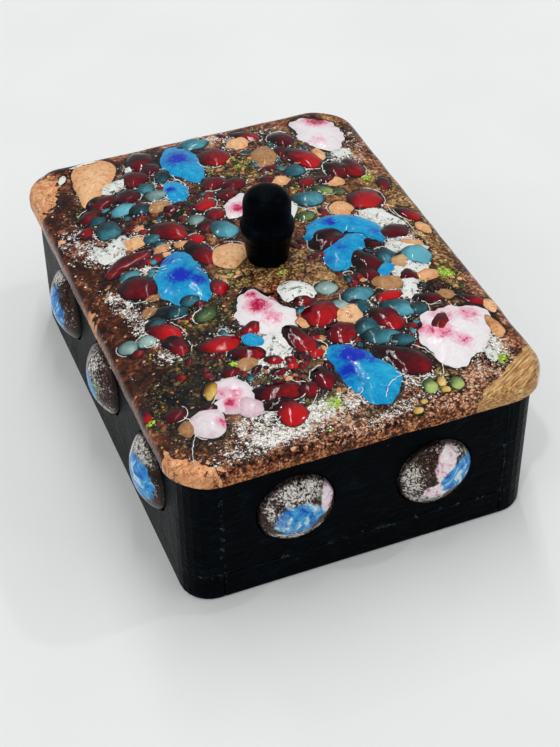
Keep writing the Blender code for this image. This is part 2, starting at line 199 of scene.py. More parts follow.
GOLD_ZONES = (
    (2, -4, 13, 6, 10, 1.0), (11, -14, 6, 5, 0, 1.0), (43, 4, 4, 26, 0, 0.9),
    (38, 22, 7, 5, 20, 0.9), (24, 18, 6, 5, 0, 0.6), (-12, 10, 4, 8, 0, 0.6),
    (42, 52, 3, 9, 0, 0.8), (-4, -41, 6, 3, 0, 0.9), (9, -30, 5, 5, 0, 0.5),
)
GRIT_ZONES = (
    (6, -60, 42, 8, 0, 1.0), (-20, -58, 20, 6, 0, 0.8), (36, -56, 8, 6, 20, 1.0),
    (2, -4, 14, 8, 10, 0.8), (43, 0, 4, 40, 0, 0.6), (10, 42, 12, 10, 0, 0.8),
)
RUST_ZONES = (
    (-43, 6, 6, 30, 0, 1.0), (-41, 42, 5, 12, 10, 1.0), (-42, -28, 5, 10, 0, 1.0),
    (-38, -54, 9, 6, 0, 1.0), (-36, -6, 5, 12, 0, 0.8), (-30, -60, 12, 4, 0, 0.6),
)
BARE_ZONES = (
    (-45, 52.5, 3.8, 8.0, -28, 1.3), (-48.4, -1.0, 1.8, 4.2, 0, 1.0), (-44.4, -61, 8.6, 4.0, -42, 1.0),
)
# Brushed corner: a point on its straight border, and the direction across it
BARE_CORNER_POINT = (27.0, -64.0)
BARE_CORNER_NORMAL = (0.54, -0.84)

# Drops of glass: family, x, y, length, width, turn in degrees, tone from dark to bright
DROPS = (
    ("red", -15.5, 57, 10, 7.5, 70, 0.15), ("red", -19.8, 48.5, 9, 7.5, 60, 0.30),
    ("red", -14, 51.5, 7, 5, 60, 0.10), ("teal", -12.5, 46.5, 7, 4.5, 60, 0.05),
    ("white", -19.2, 54, 3.4, 2.6, 70, 0.5), ("white", -25.5, 47.3, 9, 4.4, 32, 0.5),
    ("blue", -11.5, 37.5, 10.5, 6.2, 82, 0.5), ("teal", 1.2, 60, 8, 7, 10, 0.60),
    ("teal", -18.5, 42.5, 6, 5, 40, 0.40), ("grey", -17, 38, 6, 5, 20, 0.45),
    ("red", 4, 50.6, 10.5, 8.4, 60, 0.45), ("red", 16.2, 58, 9, 4.8, 130, 0.35),
    ("peach", 12.6, 55, 6.4, 6.2, 0, 0.6), ("red", 24.6, 52, 8, 7, 80, 0.15),
    ("tan", 16.6, 44.6, 11, 6.8, 73, 0.5), ("red", 15.5, 38.2, 6, 2.8, 10, 0.30),
    ("red", 22, 45.8, 6.5, 4.2, 80, 0.20), ("red", 26.2, 40.2, 12.5, 7.6, 112, 0.60),
    ("peach", 31.2, 40.6, 6.5, 3.4, 86, 0.5), ("white", 37.5, 40, 6, 4, 20, 0.4),
    ("teal", 21.5, 34.6, 6.6, 5.6, 45, 0.35), ("red", 3.8, 34.6, 7.4, 6.2, 30, 0.28),
    ("red", -1, 37.2, 7.5, 6.2, 30, 0.35), ("red", 0.5, 30.6, 6.5, 5.2, 20, 0.30),
    ("red", 32.6, 31.5, 9, 6.5, 84, 0.10), ("red", 37, 31.3, 9.4, 6.6, 84, 0.32),
    ("white", 32, 30.4, 4.4, 1.8, 80, 0.5), ("red", 22.2, 28, 5.4, 4.4, 30, 0.45),
    ("peach", 16.2, 31.2, 4.8, 4.3, 0, 0.5), ("peach", 30, 26, 4.8, 4.3, 20, 0.5),
    ("red", 13, 33, 4, 4, 0, 0.25), ("red", 27.6, 27.6, 6, 4, 0, 0.12),
    ("red", -24, 40.6, 8, 6.4, 60, 0.12), ("red", -31, 41.2, 9, 5.6, 30, 0.28),
    ("red", -35.6, 36.6, 7, 5.4, 40, 0.32), ("red", -38.4, 30.6, 5.2, 3.8, 30, 0.42),
    ("teal", -27, 35.2, 7.4, 5.2, 30, 0.8), ("teal", -33.2, 28.4, 8.4, 6.6, 80, 0.35),
    ("teal", -34.6, 33.8, 5, 4, 0, 0.25), ("teal", -23, 33.4, 6.4, 5.2, 0, 0.08),
    ("tan", -18, 32.4, 6, 4.8, 0, 0.55), ("red", -15.4, 30, 4.2, 3.6, 0, 0.28),
    ("red", -6.6, 28, 6.2, 5, 30, 0.72), ("red", -5.6, 22.8, 5.2, 4.8, 30, 0.48),
    ("red", -9.2, 18.8, 6.6, 5.2, 60, 0.22), ("grey", -11.2, 22.4, 5.2, 4.2, 20, 0.4),
    ("red", -19, 20.6, 10.5, 7.4, 130, 0.42), ("red", -25.2, 23.4, 2.8, 2.2, 0, 0.5),
    ("peach", -28.6, 19.8, 6.2, 4.8, 0, 0.55), ("teal", -24.2, 19.6, 5.4, 3.8, 0, 0.4),
    ("peach", -23.2, 14.6, 5, 2.8, 20, 0.35),
    ("peach", -18, 14, 4, 2.4, 0, 0.35), ("red", -14, 14.4, 4.8, 4.2, 0, 0.80),
    ("teal", -6, 15.6, 8.6, 6.6, 92, 0.62),
    ("white", 14.2, 17.6, 8.6, 2.2, 66, 0.5), ("teal", 19.6, 20.2, 8.4, 7.4, 20, 0.55),
    ("green", 24.8, 23, 6.6, 4, 150, 0.4), ("green", 15.8, 12.8, 5, 4.2, 20, 0.4),
    ("green", 28.6, 21, 4, 3, 0, 0.3), ("red", 34, 15.6, 10, 8.8, 40, 0.66),
    ("peach", 26, 13.4, 6.4, 6.2, 20, 0.55), ("red", 42.4, 22.4, 6, 3.8, 72, 0.3),
    ("red", 42.4, 6.8, 7.4, 4.6, 118, 0.5), ("peach", 43.6, 0, 5.4, 3.6, 98, 0.5),
    ("teal", -34, 8, 5.6, 3.8, 0, 0.6), ("red", -33.6, 2.4, 9.6, 9.0, 92, 0.28),
    ("tan", -31.6, -2.9, 4, 2.6, 0, 0.35), ("red", -15, 8.6, 11.5, 5.8, 108, 0.25),
    ("peach", -8.6, 4.6, 10, 8.6, 45, 0.6), ("red", -15.6, -6.4, 6, 4.4, 84, 0.55),
    ("tan", -34, -7.4, 4.2, 3.2, 0, 0.4), ("teal", -29, -10.2, 8, 5, 165, 0.12),
    ("teal", -24, -8.6, 5, 3.4, 0, 0.35), ("red", -22, -10.4, 3.2, 2.2, 0, 0.25),
    ("green", -22, -15, 6.6, 4.4, 20, 0.3), ("red", -33, -16.2, 10, 5.6, 126, 0.70),
    ("red", -32.2, -22, 8, 5, 112, 0.28), ("grey", -38, -17.2, 4.6, 4, 0, 0.7),
    ("teal", -34, -12.2, 5, 4, 0, 0.18), ("grey", -42.6, -17, 5.2, 4.6, 30, 0.5),
    ("red", -41.2, -20, 3.2, 2.6, 0, 0.4), ("red", 16.8, 1.4, 10.8, 7.0, 28, 0.10),
    ("red", 27, -3.6, 5.4, 3.2, 0, 0.05), ("red", 22.6, -10.2, 8.8, 7.4, 84, 0.10),
    ("red", 21, -15.4, 6, 4.4, 90, 0.22), ("teal", 28.2, -9.4, 6.4, 5, 80, 0.40),
    ("blue", 26, -14.6, 6, 3.6, 40, 0.4), ("red", 34.8, 0, 9, 5.6, 14, 0.22),
    ("teal", 36, -11.6, 8.8, 7.6, 60, 0.92), ("peach", 37, -6.4, 6.6, 4, 0, 0.5),
    ("tan", 31, -12.6, 5, 4.6, 60, 0.65), ("red", 30.4, -19, 5.4, 4.6, 10, 0.25),
    ("peach", 35, -19.6, 6.4, 4.4, 20, 0.45), ("tan", 24, -20, 8.2, 5.4, 168, 0.5),
    ("white", 1.5, -15.6, 9, 7.8, 142, 0.7), ("grey", 8.6, -17, 5.8, 5.2, 0, 0.6),
    ("teal", 15, -22, 8.4, 6, 10, 0.55), ("teal", 13.4, -26.2, 5.4, 5, 0, 0.3),
    ("red", 1.2, -19.8, 6, 4.2, 162, 0.35), ("red", 3.6, -25.6, 9.8, 8.8, 20, 0.62),
    ("peach", -1.8, -26.8, 4, 2.8, 84, 0.5), ("peach", 10, -28.2, 6.8, 6, 40, 0.62),
    ("grey", 9.2, -24, 4.4, 3.6, 0, 0.6), ("red", 22, -25, 7, 3.8, 5, 0.88),
    ("teal", 22, -29.8, 8.6, 6.6, 145, 0.52), ("teal", 26.8, -31.4, 5, 4.8, 0, 0.2),
    ("red", -14, -24.4, 5.4, 4.2, 30, 0.5), ("blue", -15, -28.4, 6, 4, 118, 0.6),
    ("red", -23, -26.6, 10.5, 5.6, 170, 0.7), ("red", -18, -32, 8.4, 5.2, 160, 0.32),
    ("tan", -19.2, -35.4, 5.4, 4, 10, 0.5), ("red", -4.8, -32.4, 9.6, 6.4, 108, 0.42),
    ("red", 5.6, -33.4, 8, 7.2, 45, 0.45), ("red", 18, -32.6, 9.8, 6.6, 112, 0.42),
    ("teal", 12, -33.8, 7, 6, 60, 0.3), ("teal", 14, -38, 9.6, 5.6, 160, 0.5),
    ("teal", 18, -40.6, 7, 4, 165, 0.3), ("red", -13, -36.4, 4.6, 3, 150, 0.55),
    ("red", -2.6, -38, 3.8, 2.8, 20, 0.98), ("red", -9.6, -39.9, 2.8, 2.5, 0, 0.98),
    ("red", -13.4, -40.6, 4.4, 2.6, 0, 0.3), ("red", -23.6, -36.4, 4.8, 3.6, 0, 0.32),
    ("red", 15.8, -47, 14, 8.6, 128, 0.16), ("red", 31, -28.6, 8, 4.4, 170, 0.18),
    ("red", 41.4, -31.6, 6.6, 3.6, 140, 0.38),
    ("red", 29.4, -38.6, 8.4, 4.6, 62, 0.34), ("tan", 36, -28.2, 4.6, 3.8, 0, 0.45),
    ("peach", 44.8, -35, 5.6, 3, 84, 0.55), ("peach", 42, -43, 6.8, 3.8, 90, 0.4),
    ("pinkwhite", -28, -46, 6.4, 4, 150, 0.6), ("pinkwhite", -34, -49.4, 8.8, 7.6, 100, 0.42),
    ("pink", -23.4, -48.8, 6.0, 5.4, 84, 0.42), ("pink", -27.6, -47.4, 4.6, 3.2, 150, 0.4),
    ("red", -32.4, -45.2, 4.4, 3, 0, 0.08),
    ("red", -40, -43.6, 5.2, 4.2, 0, 0.32), ("tan", -39, -48.8, 4.6, 3.8, 86, 0.4),
    ("red", -16, -46.4, 11.5, 5.8, 162, 0.40), ("red", -17.2, -50, 8, 4, 175, 0.08),
    ("red", -15.4, -54, 7.6, 6.8, 70, 0.85), ("red", -9, -48.2, 5.4, 4.8, 0, 0.38),
    ("red", -4.4, -46.2, 7, 5.6, 84, 0.32), ("green", 17.8, -57, 4.8, 3.4, 80, 0.75),
    ("green", 24.2, -58, 4.2, 3.4, 70, 0.75), ("amber", 21, -56.4, 3.4, 2.2, 70, 0.7),
    ("amber", 20.8, -59, 2.4, 2, 0, 0.6), ("amber", 14.4, -60.8, 1.8, 1.6, 0, 0.6),
    ("amber", 12, -62.8, 2.6, 2, 0, 0.6), ("amber", -30.0, -40.2, 6.0, 3.2, 60, 0.45),
    ("red", -46, -40.6, 5, 2.4, 88, 0.4), ("peach", -45.2, 30.4, 2, 1.8, 0, 0.6),
    ("white", -37.2, 57.6, 4, 1.8, 64, 0.5), ("white", -30, 62.2, 8, 1.3, 2, 0.5),
)

# Curved melts: family, tone, and the centres and radii that they run through
RUNS = (
    ("red", 0.24, ((-38.0, 10.8, 1.8), (-33.5, 13.4, 2.8), (-28.0, 14.2, 2.0))),
    ("blue", 0.50, ((14.0, 3.4, 2.6), (18.4, 6.8, 4.0), (24.2, 6.8, 4.2), (28.6, 3.2, 3.8),
                    (29.4, -1.4, 2.4))),
)

# Broad melts with ragged outlines: family, tone, and the centres and radii that they cover
MELTS = (
    ("white", 0.50, ((30.5, 12.0, 1.4), (34.5, 9.0, 2.4), (38.0, 5.0, 1.6))),
    ("white", 0.50, ((33.0, -4.5, 2.4), (35.6, -9.0, 4.6), (34.0, -15.0, 2.8))),
    ("white", 0.50, ((30.5, -15.5, 2.0), (29.4, -20.5, 2.6), (28.0, -24.5, 2.4))),
    ("white", 0.50, ((-12.4, -31.5, 3.4), (-9.6, -29.5, 3.4), (-9.0, -34.0, 2.6))),
    ("white", 0.45, ((-36.5, 18.5, 2.0), (-33.6, 20.5, 3.2), (-31.4, 22.5, 1.8))),
    ("white", 0.45, ((-38.4, 22.0, 1.6), (-37.4, 17.4, 1.8))),
    ("white", 0.40, ((36.6, -50.5, 1.8), (36.2, -53.0, 1.4))),
    ("blue", 0.50, ((-5.0, 57.0, 4.2), (-5.6, 51.5, 5.8), (-4.4, 45.0, 3.8), (-4.2, 41.0, 2.2))),
    ("pinkwhite", 0.60, ((34.0, 57.6, 4.6), (36.0, 51.5, 6.8), (35.6, 45.0, 3.8))),
    ("blue", 0.60, ((-20.4, 9.8, 2.6), (-22.2, 4.4, 5.4), (-23.4, -1.0, 7.0), (-22.6, -4.6, 6.0))),
    ("blue", 0.45, ((15.0, -9.8, 2.8), (17.6, -5.6, 4.6), (21.4, -1.8, 4.4), (26.0, -0.4, 3.4))),
    ("pinkwhite", 0.70, ((-9.6, -12.6, 3.0), (-10.2, -18.6, 5.6), (-8.0, -23.4, 6.0), (-5.6, -27.6, 3.6))),
    ("blue", 0.55, ((3.0, -41.0, 4.4), (4.8, -46.0, 6.2), (7.0, -51.0, 6.2), (5.6, -55.8, 3.2))),
    ("pinkwhite", 0.75, ((39.6, -37.8, 4.6), (33.6, -41.0, 8.4), (29.4, -43.4, 8.2), (27.4, -49.4, 4.8))),
    ("pinkwhite", 0.50, ((-28.6, -41.0, 3.2), (-25.4, -42.0, 4.2), (-24.2, -44.6, 3.0))),
    ("pinkwhite", 0.55, ((-1.0, 20.6, 2.2), (0.4, 24.0, 3.0), (2.6, 28.0, 2.4))),
    ("peach", 0.62, ((-28.0, 58.0, 6.4), (-30.4, 51.5, 5.2), (-33.0, 45.6, 2.8), (-34.8, 41.4, 1.2))),
)

# Colour clouds in the glass: x, y, radius, strength
COBALT_SPOTS = (
    (-5.8, 52.4, 4.2, 1.0), (-12.8, 38, 1.8, 1.0), (-24, 8.4, 2.2, 0.8), (-23, 0.8, 4.2, 1.0),
    (-19.4, -2.2, 3.2, 0.9), (20, 7.4, 2.2, 1.0), (29.4, 0, 2.2, 0.7), (18.4, -4, 2.6, 0.6),
    (4.8, -42.0, 5.0, 1.0), (1.6, -46.6, 3.4, 0.9), (8, -45, 2.4, 0.8), (13.6, -8, 2.0, 0.5),
)
PINK_SPOTS = (
    (37.6, 57.6, 4.0, 1.0), (34, 47, 2.6, 0.4), (-9.8, -13, 2.0, 0.8), (-9.8, -18, 3.4, 1.0),
    (-5, -16.4, 1.6, 0.7), (-28.4, -42.4, 1.6, 0.6), (-27.4, -46.0, 2.0, 0.9), (31, -36.4, 3.4, 0.6),
    (23.4, -38.4, 2.6, 0.9), (28.4, -42.6, 3.0, 0.7), (26, -41.0, 2.4, 0.7), (0.6, 22.4, 2.6, 0.9),
    (37.2, -37.4, 3.4, 0.6), (31.6, -46.2, 2.6, 0.6), (-31, -50.6, 2.0, 0.7), (-8, -23.4, 3.0, 0.55),
    (-25.4, -44.0, 2.0, 0.6),
)

# Glass families: dark, middle and bright colour, as red, green and blue from 0 to 255
GLASS_COLOURS = {
    "red": ((26, 2, 8), (92, 3, 16), (186, 12, 18)),
    "teal": ((6, 22, 28), (34, 86, 98), (92, 170, 186)),
    "grey": ((40, 58, 58), (104, 134, 132), (172, 194, 188)),
    "peach": ((126, 66, 34), (222, 162, 110), (252, 216, 172)),
    "tan": ((76, 48, 26), (168, 122, 78), (222, 184, 136)),
    "white": ((170, 172, 162), (222, 224, 218), (242, 242, 240)),
    "pinkwhite": ((196, 166, 174), (224, 216, 220), (240, 238, 239)),
    "pink": ((180, 130, 146), (222, 200, 208), (240, 234, 236)),
    "blue": ((0, 66, 160), (0, 134, 194), (40, 178, 214)),
    "green": ((22, 36, 20), (70, 94, 54), (168, 188, 108)),
    "amber": ((96, 64, 16), (184, 140, 52), (232, 206, 124)),
}
COBALT = (0, 40, 178)
MAGENTA = (176, 22, 72)

# Small chips of crushed glass: family, count, smallest and largest size in mm, zone they prefer
CHIPS = (
    ("red", 40, 0.8, 2.0, "olive"), ("peach", 44, 0.6, 1.6, "olive"), ("green", 36, 0.6, 1.4, "olive"),
    ("amber", 40, 0.5, 1.1, "olive"), ("red", 70, 1.5, 3.0, "packed"), ("teal", 34, 1.4, 2.8, "packed"),
    ("peach", 18, 1.2, 2.2, "packed"),
)
CHIP_TRIES = 12000
CHIP_SEED = 5
CHIP_INSET = 0.0022
CHIP_KNOB_GAP = 7
CHIP_GLASS_GAP = 0.3

# Loose crumbs of crushed glass: name, most of them, smallest and largest size in mm, dark and
# bright colour
CRUMBS = (
    ("white", 13000, 0.11, 0.42, (176, 172, 160), (252, 252, 250)),
    ("lime", 620, 0.16, 0.50, (110, 146, 30), (206, 236, 96)),
    ("tan", 1900, 0.10, 0.34, (120, 84, 42), (222, 190, 120)),
)
CRUMB_TRIES = 110000
CRUMB_SEED = 7
CRUMB_INSET = 0.0012
CRUMB_KNOB_GAP = 6.5
CRUMB_GLASS_GAP = -0.25
CRUMB_SIDES = 6
CRUMB_SINK = 0.00006

# Thin white glass threads: points in mm
THREADS = (
    ((-36.5, -50.4), (-38.6, -52.6), (-40.2, -55.8), (-41.2, -59.8)),
    ((-38.4, -45.0), (-37.0, -47.6), (-36.2, -50.6)),
    ((6.4, -57.2), (9.0, -53.6), (13.6, -51.4), (17.4, -50.4), (21.2, -52.0)),
    ((19.8, -43.0), (22.0, -46.0), (23.0, -49.4)),
    ((-12.0, -41.6), (-11.2, -44.6), (-8.6, -46.0), (-7.6, -49.8), (-9.6, -52.6)),
    ((24.0, -50.8), (22.6, -54.0), (20.4, -57.4)),
    ((-28.6, 12.4), (-29.2, 9.2), (-27.2, 6.2)),
    ((38.6, 12.2), (38.4, 8.0), (40.2, 4.6), (40.4, -1.8)),
    ((29.6, 10.0), (32.0, 6.0), (32.6, 0.6), (31.4, -5.0), (32.8, -9.2)),
    ((-14.6, 46.0), (-15.8, 41.6), (-15.4, 36.4), (-13.0, 33.0)),
    ((-27.6, 8.2), (-24.6, 6.6), (-22.0, 7.2), (-18.6, 5.4)),
    ((-28.4, 3.6), (-25.6, 4.4), (-22.8, 3.0), (-19.0, 3.4), (-17.2, 1.6)),
    ((-26.0, 5.8), (-23.4, 4.8), (-20.4, 5.4)),
    ((-8.6, 41.6), (-9.6, 45.0), (-7.4, 47.6)),
    ((-17.4, 46.6), (-15.6, 49.2), (-12.6, 49.6)),
    ((-1.2, -33.4), (0.8, -36.6), (-1.6, -39.4)),
)
# White-rimmed rings: centre and radius in mm
RINGS = ((1.0, -52.4, 1.7), (-19.2, -53.2, 1.5), (-13.4, 48.6, 1.4), (-37.8, -18.6, 1.3), (16.0, -13.6, 1.2))
THREAD_RADIUS = 0.00014
THREAD_WANDER = 0.35
THREAD_STEPS = 26
# Share of the wider drops that get a short white arc along their edge: a painted highlight, laid as white
# glass
PAINTED_HIGHLIGHT_RIM_CHANCE = 0.80
# Lime green patches: x, y, radius
LIME_PATCHES = (
    (-5.4, -54, 3.4), (38, -53.6, 2.6), (40.4, -20, 3.0), (22, -19.6, 2.8), (38.6, 26, 2.2),
    (-46, -43.4, 1.8), (8.6, 42, 2.0), (1, -7, 1.4), (-22, -34.4, 1.6), (20, 14, 1.6),
)


# Zones of the ground by the names that its material and the crumbs use
ZONES = {
    "dark": DARK_ZONES, "packed": PACKED_ZONES, "white": WHITE_ZONES, "olive": OLIVE_ZONES,
    "gold": GOLD_ZONES, "grit": GRIT_ZONES, "rust": RUST_ZONES,
}


def srgb(colour):
    """Turn a colour given as 0 to 255 into the shader's linear values."""
    values = []
    for value in colour:
        share = value / 255
        values.append(share / 12.92 if share <= 0.04045 else ((share + 0.055) / 1.055) ** 2.4)
    return (*values, 1.0)


class Shade:
    """The nodes of a material, with one short call for each kind."""

    def __init__(self, name):
        self.material = bpy.data.materials.new(name)
        self.material.use_nodes = True
        self.tree = self.material.node_tree
        self.shader = self.tree.nodes["Principled BSDF"]
        self.coords = self.node("TexCoord").outputs["Object"]

    def put(self, socket, value):
        """Set a socket, or link it where the value is another node's output."""
        if isinstance(value, bpy.types.NodeSocket):
            self.tree.links.new(value, socket)
        else:
            socket.default_value = value

    def node(self, kind, **values):
        """Add a node and fill its sockets."""
        node = self.tree.nodes.new("ShaderNode" + kind)
        for name, value in values.items():
            self.put(node.inputs[name], value)
        return node

    def set(self, **values):
        """Fill the shader's own sockets."""
        for name, value in values.items():
            self.put(self.shader.inputs[name.replace("_", " ")], value)

    def attribute(self, name):
        node = self.node("Attribute")
        node.attribute_name = name
        return node.outputs["Fac"]

    def axis(self, name):
        return self.node("SeparateXYZ", Vector=self.coords).outputs[name]

    def stretched(self, turn, stretch):
        """Give coordinates that are turned about Z and stretched along their own X."""
        turned = self.node("Mapping", Vector=self.coords, Rotation=(0.0, 0.0, math.radians(-turn)))
        scaled = self.node("Mapping", Vector=turned.outputs["Vector"], Scale=(1 / stretch, 1.0, 1.0))
        return scaled.outputs["Vector"]

    def noise(self, size, detail=3.0, roughness=0.55, twist=0.0, coords=None):
        """Noise whose features are about size metres across."""
        node = self.node("TexNoise", Vector=coords or self.coords, Scale=1 / size, Detail=detail,
                         Roughness=roughness, Distortion=twist)
        return node.outputs["Fac"]

    def cells(self, size):
        """Random cells of about size metres: distance from the middle, and a random value."""
        node = self.node("TexVoronoi", Vector=self.coords, Scale=1 / size)
        split = self.node("SeparateColor", Color=node.outputs["Color"])
        return node.outputs["Distance"], split.outputs["Red"]

    def math(self, operation, *values):
        node = self.node("Math")
        node.operation = operation
        for socket, value in zip(node.inputs, values):
            self.put(socket, value)
        return node.outputs[0]

    def times(self, a, b, plus=0.0):
        """Multiply two values, and add a third."""
        return self.math("MULTIPLY_ADD", a, b, plus)

    def from_middle(self, value, middle=0.5):
        """How far a value is above its middle."""
        return self.math("SUBTRACT", value, middle)

    def near(self, value, middle, far, close=0.0):
        """1 where a value is close to its middle, and 0 where it is far from it."""
        return self.step(self.math("ABSOLUTE", self.from_middle(value, middle)), far, close)

    def step(self, value, low, high):
        """Rise smoothly from 0 at low to 1 at high, or fall where low is the larger."""
        node = self.node("MapRange")
        node.interpolation_type = "SMOOTHSTEP"
        falls = low > high
        self.put(node.inputs["Value"], value)
        node.inputs["From Min"].default_value = min(low, high)
        node.inputs["From Max"].default_value = max(low, high)
        node.inputs["To Min"].default_value = float(falls)
        node.inputs["To Max"].default_value = float(not falls)
        return node.outputs["Result"]

    def ramp(self, value, *stops):
        """Colour ramp from (place, colour) pairs."""
        node = self.node("ValToRGB", Fac=value)
        elements = node.color_ramp.elements
        while len(elements) < len(stops):
            elements.new(0.5)
        for element, (place, colour) in zip(elements, stops):
            element.position = place
            element.color = srgb(colour)
        return node.outputs["Color"]

    def mix(self, factor, below, above):
        """Mix two colours, each a node's output or a colour of 0 to 255."""
        node = self.node("Mix")
        node.data_type = "RGBA"
        self.put(node.inputs["Factor"], factor)
        for name, value in (("A", below), ("B", above)):
            socket = next(s for s in node.inputs if s.name == name and s.type == "RGBA")
            self.put(socket, srgb(value) if isinstance(value, tuple) else value)
        return next(s for s in node.outputs if s.type == "RGBA")

    def bump(self, height, distance, strength):
        """Give the shader small relief, distance metres high."""
        node = self.node("Bump", Height=height, Distance=distance, Strength=strength)
        self.set(Normal=node.outputs["Normal"])


# Shape of the lid and levels of its zones, for arrays of places
def turned(x, y, turn):
    """Turn places about the origin, by degrees."""
    cos_turn = math.cos(math.radians(turn))
    sin_turn = math.sin(math.radians(turn))
    return x * cos_turn - y * sin_turn, x * sin_turn + y * cos_turn


def circle(segments):
    """Angles once around a circle."""
    return 2 * math.pi * np.arange(segments) / segments


def noise_at(x, y, scale, phase=0.0):
    """Smooth noise at places, with features of about 1 / scale."""
    return np.array([noise.noise(Vector((a * scale, b * scale, phase))) for a, b in zip(x, y)])


def lid_inset(x, y):
    """Distance inwards from the lid's outline."""
    beyond_x = np.abs(x) - (LID_HALF_X - LID_CORNER_RADIUS)
    beyond_y = np.abs(y) - (LID_HALF_Y - LID_CORNER_RADIUS)
    outside = np.hypot(np.maximum(beyond_x, 0.0), np.maximum(beyond_y, 0.0))
    inside = np.minimum(np.maximum(beyond_x, beyond_y), 0.0)
    return LID_CORNER_RADIUS - outside - inside


def lid_height(x, y):
    """Height of the lid's crowned surface."""
    share = np.clip(lid_inset(x, y) / LID_EDGE_RADIUS, 0.0, 1.0)
    edge = LID_EDGE_RADIUS * (1 - np.sqrt(np.maximum(0.0, 1 - (1 - share) ** 2)))
    flat_x = LID_HALF_X - LID_EDGE_RADIUS
    flat_y = LID_HALF_Y - LID_EDGE_RADIUS
    power = LID_CROWN_SQUARENESS
    reach = ((np.abs(x) / flat_x) ** power + (np.abs(y) / flat_y) ** power) ** (1 / power)
    seat = KNOB_SEAT_RADIUS / flat_x
    reach = np.clip((reach - seat) / (1 - seat), 0.0, 1.0)
    return LID_SHOULDER_Z - edge + LID_CROWN * (1 - reach ** 2)


def zone_level(x, y, zones):
    """Strongest level of soft-edged ovals at places in millimetres."""
    level = np.zeros_like(x)
    for centre_x, centre_y, half_length, half_width, turn, strength in zones:
        along, across = turned(x - centre_x, y - centre_y, -turn)
        reach = np.hypot(along / half_length, across / half_width)
        level = np.maximum(level, strength * np.clip(1.6 - reach, 0.0, 1.0))
    return level


def spot_level(x, y, spots):
    """Level of soft round spots."""
    level = np.zeros_like(x)
    for centre_x, centre_y, radius, strength in spots:
        reach = np.hypot(x - centre_x, y - centre_y) / radius
        level = np.maximum(level, strength * np.clip(1.35 - reach, 0.0, 1.0))
    return level


def lime_level(x, y):
    """Level of the lime green patches."""
    return spot_level(x, y, [(*patch, 1.0) for patch in LIME_PATCHES])


def run_points(points, steps):
    """Points and radii along a smooth line through a run's drops."""
    chain = np.array([points[0], *points, points[-1]], float)
    spans = len(points) - 1
    made = []
    for index in range(steps + 1):
        place = index / steps * spans
        span = min(int(place), spans - 1)
        t = place - span
        a, b, c, d = chain[span:span + 4]
        made.append(0.5 * (2 * b + (c - a) * t + (2 * a - 5 * b + 4 * c - d) * t ** 2
                           + (3 * b - a - 3 * c + d) * t ** 3))
    return np.array(made)


def run_level(x, y, points):
    """1 in the middle of a run of drops, 0 at its edge and less outside."""
    level = np.full_like(x, -9.0)
    for centre_x, centre_y, radius in run_points(points, 24):
        level = np.maximum(level, 1 - np.hypot(x - centre_x, y - centre_y) / max(radius, 0.4))
    return level


def drop_level(x, y, drop):
    """1 in the middle of a drop and 0 at its edge."""
    _, centre_x, centre_y, length, width, turn, _ = drop
    along, across = turned(x - centre_x, y - centre_y, -turn)
    return 1 - np.hypot(along / length * 2, across / width * 2)


def glass_clearance(x, y):
    """Rough distance in millimetres to the nearest piece of glass, less than 0 under it."""
    nearest = np.full_like(x, 99.0)
    for drop in DROPS:
        radius = min(drop[3], drop[4]) / 2
        nearest = np.minimum(nearest, -drop_level(x, y, drop) * radius)
    for _, _, points in RUNS + MELTS:
        radius = sum(point[2] for point in points) / len(points)
        nearest = np.minimum(nearest, -run_level(x, y, points) * radius)
    return nearest


# Building of pieces
def finish_piece(piece, material, slot, *nodes):
    """Give a piece its material, hang it on the root body, and hide the solids that it takes the place of."""
    piece.data.materials.append(material)
    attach(piece, "root")
    if nodes:
        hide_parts(*nodes)


def new_object(name, vertices, faces, values=None):
    """Make a smooth mesh object, with a named value for each of its points."""
    mesh = bpy.data.meshes.new(name)
    mesh.from_pydata([tuple(v) for v in vertices], [], [tuple(f) for f in faces])
    for key, numbers in (values or {}).items():
        layer = mesh.attributes.new(key, "FLOAT", "POINT")
        layer.data.foreach_set("value", np.asarray(numbers, np.float32))
    mesh.shade_smooth()
    mesh.validate()
    piece = bpy.data.objects.new(name, mesh)
    bpy.context.scene.collection.objects.link(piece)
    return piece


def merge_points(piece):
    """Join points that share a place, such as those at a disc's middle."""
    shape = bmesh.new()
    shape.from_mesh(piece.data)
    bmesh.ops.remove_doubles(shape, verts=shape.verts, dist=MERGE_DISTANCE)
    bmesh.ops.recalc_face_normals(shape, faces=shape.faces)
    shape.to_mesh(piece.data)
    shape.free()


def grid_faces(rows, count, closed=True, start=0):
    """Faces between rows of points; a closed row's last point is joined to its first."""
    faces = []
    for first in range(start, start + (rows - 1) * count, count):
        for column in range(count if closed else count - 1):
            after = (column + 1) % count
            faces.append((first + column, first + count + column, first + count + after, first + after))
    return faces


def grid_places(half):
    """Coordinates across the lid, closer together in its rounded edge."""
    inner = half - EDGE_BAND
    middle = np.linspace(-inner, inner, round(2 * inner / GROUND_STEP) + 1)
    edge = np.linspace(inner, half, round(EDGE_BAND / EDGE_STEP) + 1)[1:]
    return np.concatenate((-edge[::-1], middle, edge))


def round_corners(x, y):
    """Move a rectangle's grid so that its outer rings follow the lid's rounded corners."""
    inset = np.minimum(LID_HALF_X - np.abs(x), LID_HALF_Y - np.abs(y))
    reach_x = LID_HALF_X - inset
    reach_y = LID_HALF_Y - inset
    radius = np.maximum(LID_CORNER_RADIUS - inset, 0.0)
    corner_x = reach_x - radius
    corner_y = reach_y - radius
    in_corner = (radius > 0) & (np.abs(x) > corner_x) & (np.abs(y) > corner_y)
    safe = np.where(radius > 0, radius, 1.0) * 2
    on_side = (reach_x - np.abs(x)) < (reach_y - np.abs(y))
    share = np.where(on_side, (np.abs(y) - corner_y) / safe, 0.5 + (reach_x - np.abs(x)) / safe)
    angle = share * math.pi / 2
    new_x = np.where(in_corner, np.sign(x) * (corner_x + radius * np.cos(angle)), x)
    new_y = np.where(in_corner, np.sign(y) * (corner_y + radius * np.sin(angle)), y)
    return new_x, new_y


